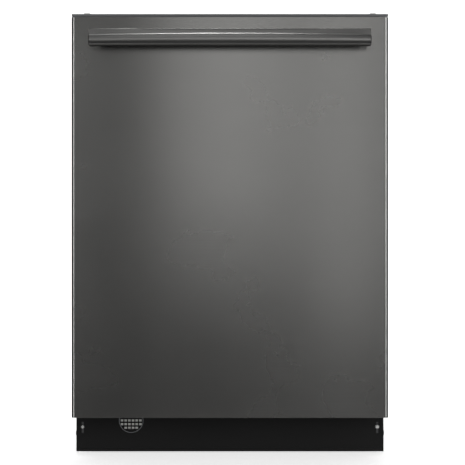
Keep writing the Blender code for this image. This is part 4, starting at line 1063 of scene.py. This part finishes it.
class DISHWASHER_OT_lower_rack(bpy.types.Operator):
    """Build the lower rack in round wire, its folding tines, wheels and cutlery basket"""

    bl_idname = "dishwasher.lower_rack"
    bl_label = "Lower rack"

    def execute(self, context):
        settings = context.scene.dishwasher_racks
        low, high = LOWER_RACK
        low = Vector((-BASKET_HALF_WIDTH, low.y, LOWER_FLOOR))
        high = Vector((BASKET_HALF_WIDTH, high.y, high.z))
        rows = basket_rows("lower_rack", low, high, settings, (0.0, 0.5, 1.0))
        floor = low.z + 3 * settings.wire
        rows += tine_rows("fixed_tines", (-0.080, -0.028), 0.190, 13, floor, 0.070, settings.wire)
        rows += tine_rows("back_tines", (0.168, 0.222), 0.190, 13, floor, 0.062, settings.wire)
        wheels = [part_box(f"rack_wheel_{w}_{s}") for w in ("front", "back") for s in ("left", "right")]
        for wheel_low, wheel_high in wheels:
            y, z = (wheel_low.y + wheel_high.y) / 2, (wheel_low.z + wheel_high.z) / 2
            side = math.copysign(1, wheel_low.x)
            inner = side * HANGER_X
            outer = side * (max(abs(wheel_low.x), abs(wheel_high.x)) + 0.0008)
            rows.append(wire_row(
                "wheel_hanger", [
                    (inner, y - HANGER_SPREAD, HANGER_TOP), (inner, y, z),
                    (inner, y + HANGER_SPREAD, HANGER_TOP),
                ], 1, (0, 0, 0), settings.rim, bend=0.006,
            ))
            rows.append(wire_row(
                "wheel_axle", [(inner, y, z), (outer, y, z)], 1, (0, 0, 0), AXLE_RADIUS, bend=0.0,
            ))
        piece = joined("lower_rack_wires", rows)
        settle(piece, "lower_rack")
        self.folding_row(settings)
        for where in ("front", "back"):
            for side in ("left", "right"):
                eased_node(f"rack_wheel_{where}_{side}", 0.0010, 3)
        eased_node("silverware_basket", 0.0009)
        return {"FINISHED"}

    def folding_row(self, settings):
        low, high = TINES
        joint = next(j for j in frame["joints"] if j["name"] == "folding_tines_hinge")
        _, y, z = joint["pos_m"]
        count, inner = 11, high.x - 0.030
        step = 2 * inner / (count - 1)
        rows = [
            wire_row(
                "row", [(-inner, y, z), (-inner, y, high.z)], count, (step, 0, 0), settings.wire, bend=0.0
            ),
            wire_row("rod", [(low.x, y, z), (high.x, y, z)], 1, (0, 0, 0), TINE_ROD_RADIUS, bend=0.0),
        ]
        settle(joined("folding_tines_wires", rows), "folding_tines")


class DISHWASHER_OT_upper_rack(bpy.types.Operator):
    """Build the upper rack in round wire with its lugs and slide bars, and the rails that carry it"""

    bl_idname = "dishwasher.upper_rack"
    bl_label = "Upper rack"

    def execute(self, context):
        settings = context.scene.dishwasher_racks
        box_low, box_high = UPPER_RACK
        low = Vector((-BASKET_HALF_WIDTH, box_low.y, UPPER_HEIGHTS[0]))
        high = Vector((BASKET_HALF_WIDTH, box_high.y, UPPER_HEIGHTS[1]))
        rows = basket_rows("upper_rack", low, high, settings, (0.0, 0.45, 1.0))
        floor = low.z + 3 * settings.wire
        rows += tine_rows("cup_tines", (-0.110, -0.020, 0.110, 0.190), 0.180, 11, floor, 0.050, settings.wire)
        bar_low, bar_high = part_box("upper_slide_left")
        for side in (-1, 1):
            x0, x1 = sorted((side * SLIDE_BAR_X, side * box_high.x))
            for share in LUG_SHARES:
                y = low.y + (high.y - low.y) * share
                lug = sorted(side * x for x in LUG_X)
                rows.append(eased_block(
                    "rack_lug", (lug[0], y - LUG_HALF_LENGTH, bar_low.z + LUG_RISE),
                    (lug[1], y + LUG_HALF_LENGTH, high.z - 0.0004), 0.0005,
                ))
            rows.append(eased_block(
                "slide_bar", (x0, bar_low.y, bar_low.z + 0.0016),
                (x1, bar_high.y, bar_high.z - 0.0016), 0.0008,
            ))
        piece = joined("upper_rack_wires", rows)
        settle(piece, "upper_rack")
        for side in ("left", "right"):
            eased_node(f"upper_rail_{side}", 0.0003)
            eased_node(f"upper_slide_{side}", 0.0003)
        return {"FINISHED"}


# name, place, what it faces, width and height, brightness, and whether gloss alone shows it
LIGHTS = (
    ("overhead", (0.0, 1.1, 3.4), (0.0, 0.8, 0.0), (3.2, 2.2), 2.4, False),
    ("front_panel", (-0.04, -3.7, 1.28), (0.0, -0.2, 0.7), (0.95, 1.94), 1.85, False),
    ("right_panel", (0.86, -3.6, 1.00), (0.1, -0.2, 0.5), (0.36, 2.1), 2.5, False),
    ("left_strip", (-1.75, -2.35, 1.05), (0.0, -0.2, 0.5), (0.45, 2.0), 15.0, True),
    ("right_strip", (1.75, -2.35, 1.05), (0.0, -0.2, 0.5), (0.45, 2.0), 15.0, True),
    ("bar_light", (-0.10, 1.0, 3.3), (0.0, -0.3, 0.8), (0.36, 0.55), 34.0, True),
    ("bar_fill", (-0.08, -1.6, 2.9), (0.0, -0.3, 0.8), (0.80, 1.9), 1.5, True),
)

# name, lowest and highest corner and glow of each card that only reflections see. The cards are painted
# reflections: dark flags beside the door that darken its sides, and dark cards over the floor in front that
# darken the lower part of the door's gloss
CARDS = (
    ("left_flag", (-0.61, -0.9, -0.02), (-0.60, 3.6, 3.0), 0.02),
    ("right_flag", (0.60, -0.9, -0.02), (0.61, 3.6, 3.0), 0.02),
    ("front_card", (-2.5, -5.0, 0.010), (2.5, -0.45, 0.012), 0.045),
    ("near_card", (-0.24, -1.35, 0.014), (0.36, -0.45, 0.016), 0.15),
)


def reflection_card(name, low, high, glow):
    """A thin glowing card beside the object that shows in its gloss and nowhere else: a painted reflection.
    """
    card = eased_block(name, low, high, 0.0004, 1)
    made = bpy.data.materials.new(f"{name}_cloth")
    made.use_nodes = True
    shader = made.node_tree.nodes["Principled BSDF"]
    shader.inputs["Base Color"].default_value = (0.0, 0.0, 0.0, 1.0)
    shader.inputs["Specular IOR Level"].default_value = 0.0
    shader.inputs["Emission Color"].default_value = (1.0, 1.0, 1.0, 1.0)
    shader.inputs["Emission Strength"].default_value = glow
    card.data.materials.append(made)
    card.visible_camera = card.visible_diffuse = card.visible_shadow = card.visible_transmission = False


def area_light(name, spot, target, size, radiance, gloss_only):
    """A soft rectangular light that faces the target."""
    light = bpy.data.lights.new(name, "AREA")
    light.shape = "RECTANGLE"
    light.size, light.size_y = size
    light.energy = radiance * math.pi * size[0] * size[1]
    lamp = bpy.data.objects.new(name, light)
    bpy.context.scene.collection.objects.link(lamp)
    lamp.location = spot
    lamp.visible_diffuse = not gloss_only
    lamp.visible_glossy = name != "overhead"
    lamp.rotation_euler = (Vector(target) - Vector(spot)).to_track_quat("-Z", "Y").to_euler()
    return lamp


def floor_material(colour):
    """A pale matt floor with a painted glow, none far in front and full near and under the object and up the
    backdrop, which washes the object's shadow on the floor out to white.
    """
    made = bpy.data.materials.new("pale_floor")
    made.use_nodes = True
    sheet = Sheet(made.node_tree)
    shader = made.node_tree.nodes["Principled BSDF"]
    shader.inputs["Base Color"].default_value = (*colour, 1.0)
    shader.inputs["Roughness"].default_value = 0.9
    shader.inputs["Emission Color"].default_value = (1.0, 1.0, 1.0, 1.0)
    place = sheet.add("ShaderNodeTexCoord")
    split = sheet.add("ShaderNodeSeparateXYZ", {0: place.outputs["Object"]})
    # painted glow: rises from nothing at 1.6 m in front to full at 0.6 m in front and stays full behind
    glow = sheet.add(
        "ShaderNodeMapRange",
        {"Value": split.outputs["Y"], "From Min": -1.6, "From Max": -0.6, "To Min": 0.0, "To Max": 0.72},
    )
    made.node_tree.links.new(glow.outputs[0], shader.inputs["Emission Strength"])
    return made


class DISHWASHER_OT_stage(bpy.types.Operator):
    """Build the pale floor with its backdrop, the soft lights, the glowing cards of painted reflection and
    the camera
    """

    bl_idname = "dishwasher.stage"
    bl_label = "Stage"

    def execute(self, context):
        settings = context.scene.dishwasher_stage
        width, back, radius, height = 9.0, 4.5, 1.5, 6.0
        outline = [(-7.0, 0.0), (back - radius, 0.0)]
        for step in range(1, 13):
            angle = math.pi / 2 * step / 12
            outline.append((back - radius + radius * math.sin(angle), radius - radius * math.cos(angle)))
        outline.append((back, height))
        points, faces = [], []
        for y, z in outline:
            points += [(-width, y, z), (width, y, z)]
        for index in range(len(outline) - 1):
            a = 2 * index
            faces.append((a, a + 1, a + 3, a + 2))
        mesh = bpy.data.meshes.new("floor")
        mesh.from_pydata(points, [], faces)
        mesh.shade_smooth()
        floor = put("floor", mesh)
        mesh.materials.append(floor_material(settings.floor))
        for row in LIGHTS:
            area_light(*row)
        for row in CARDS:
            reflection_card(*row)
        world = bpy.data.worlds.new("studio")
        world.use_nodes = True
        world.node_tree.nodes["Background"].inputs[0].default_value = (1.0, 1.0, 1.0, 1.0)
        world.node_tree.nodes["Background"].inputs[1].default_value = 0.09
        bpy.context.scene.world = world
        bpy.context.scene.view_settings.view_transform = "Standard"
        lens = bpy.data.cameras.new("camera")
        lens.lens = CAMERA_LENS
        lens.sensor_width = 36.0
        camera = bpy.data.objects.new("camera", lens)
        bpy.context.scene.collection.objects.link(camera)
        camera.location = CAMERA_SPOT
        camera.rotation_euler = (math.pi / 2, 0.0, 0.0)
        bpy.context.scene.camera = camera
        return {"FINISHED"}


OPERATORS = (
    DISHWASHER_OT_stage,
    DISHWASHER_OT_door,
    DISHWASHER_OT_door_edges,
    DISHWASHER_OT_liner_screws,
    DISHWASHER_OT_handle,
    DISHWASHER_OT_latch,
    DISHWASHER_OT_dispenser,
    DISHWASHER_OT_hinges,
    DISHWASHER_OT_cabinet,
    DISHWASHER_OT_kick_plate,
    DISHWASHER_OT_wash_system,
    DISHWASHER_OT_spray_arms,
    DISHWASHER_OT_lower_rack,
    DISHWASHER_OT_upper_rack,
)


class DISHWASHER_PT_pieces(bpy.types.Panel):
    """Lists the pieces of the dishwasher"""

    bl_idname = "DISHWASHER_PT_pieces"
    bl_label = "Dishwasher"
    bl_space_type = "VIEW_3D"
    bl_region_type = "UI"
    bl_category = "Dishwasher"

    def draw(self, context):
        for name, group in SETTINGS.items():
            box = self.layout.box()
            for item in group.__annotations__:
                box.prop(getattr(context.scene, name), item)
        for operator in OPERATORS:
            self.layout.operator(operator.bl_idname)


def register():
    for name, group in SETTINGS.items():
        bpy.utils.register_class(group)
        setattr(bpy.types.Scene, name, bpy.props.PointerProperty(type=group))
    for operator in OPERATORS:
        bpy.utils.register_class(operator)
    bpy.utils.register_class(DISHWASHER_PT_pieces)


def unregister():
    bpy.utils.unregister_class(DISHWASHER_PT_pieces)
    for operator in reversed(OPERATORS):
        bpy.utils.unregister_class(operator)
    for name, group in SETTINGS.items():
        delattr(bpy.types.Scene, name)
        bpy.utils.unregister_class(group)


def main():
    register()
    for operator in OPERATORS:
        group, call = operator.bl_idname.split(".")
        getattr(getattr(bpy.ops, group), call)()


if __name__ == "__main__":
    main()
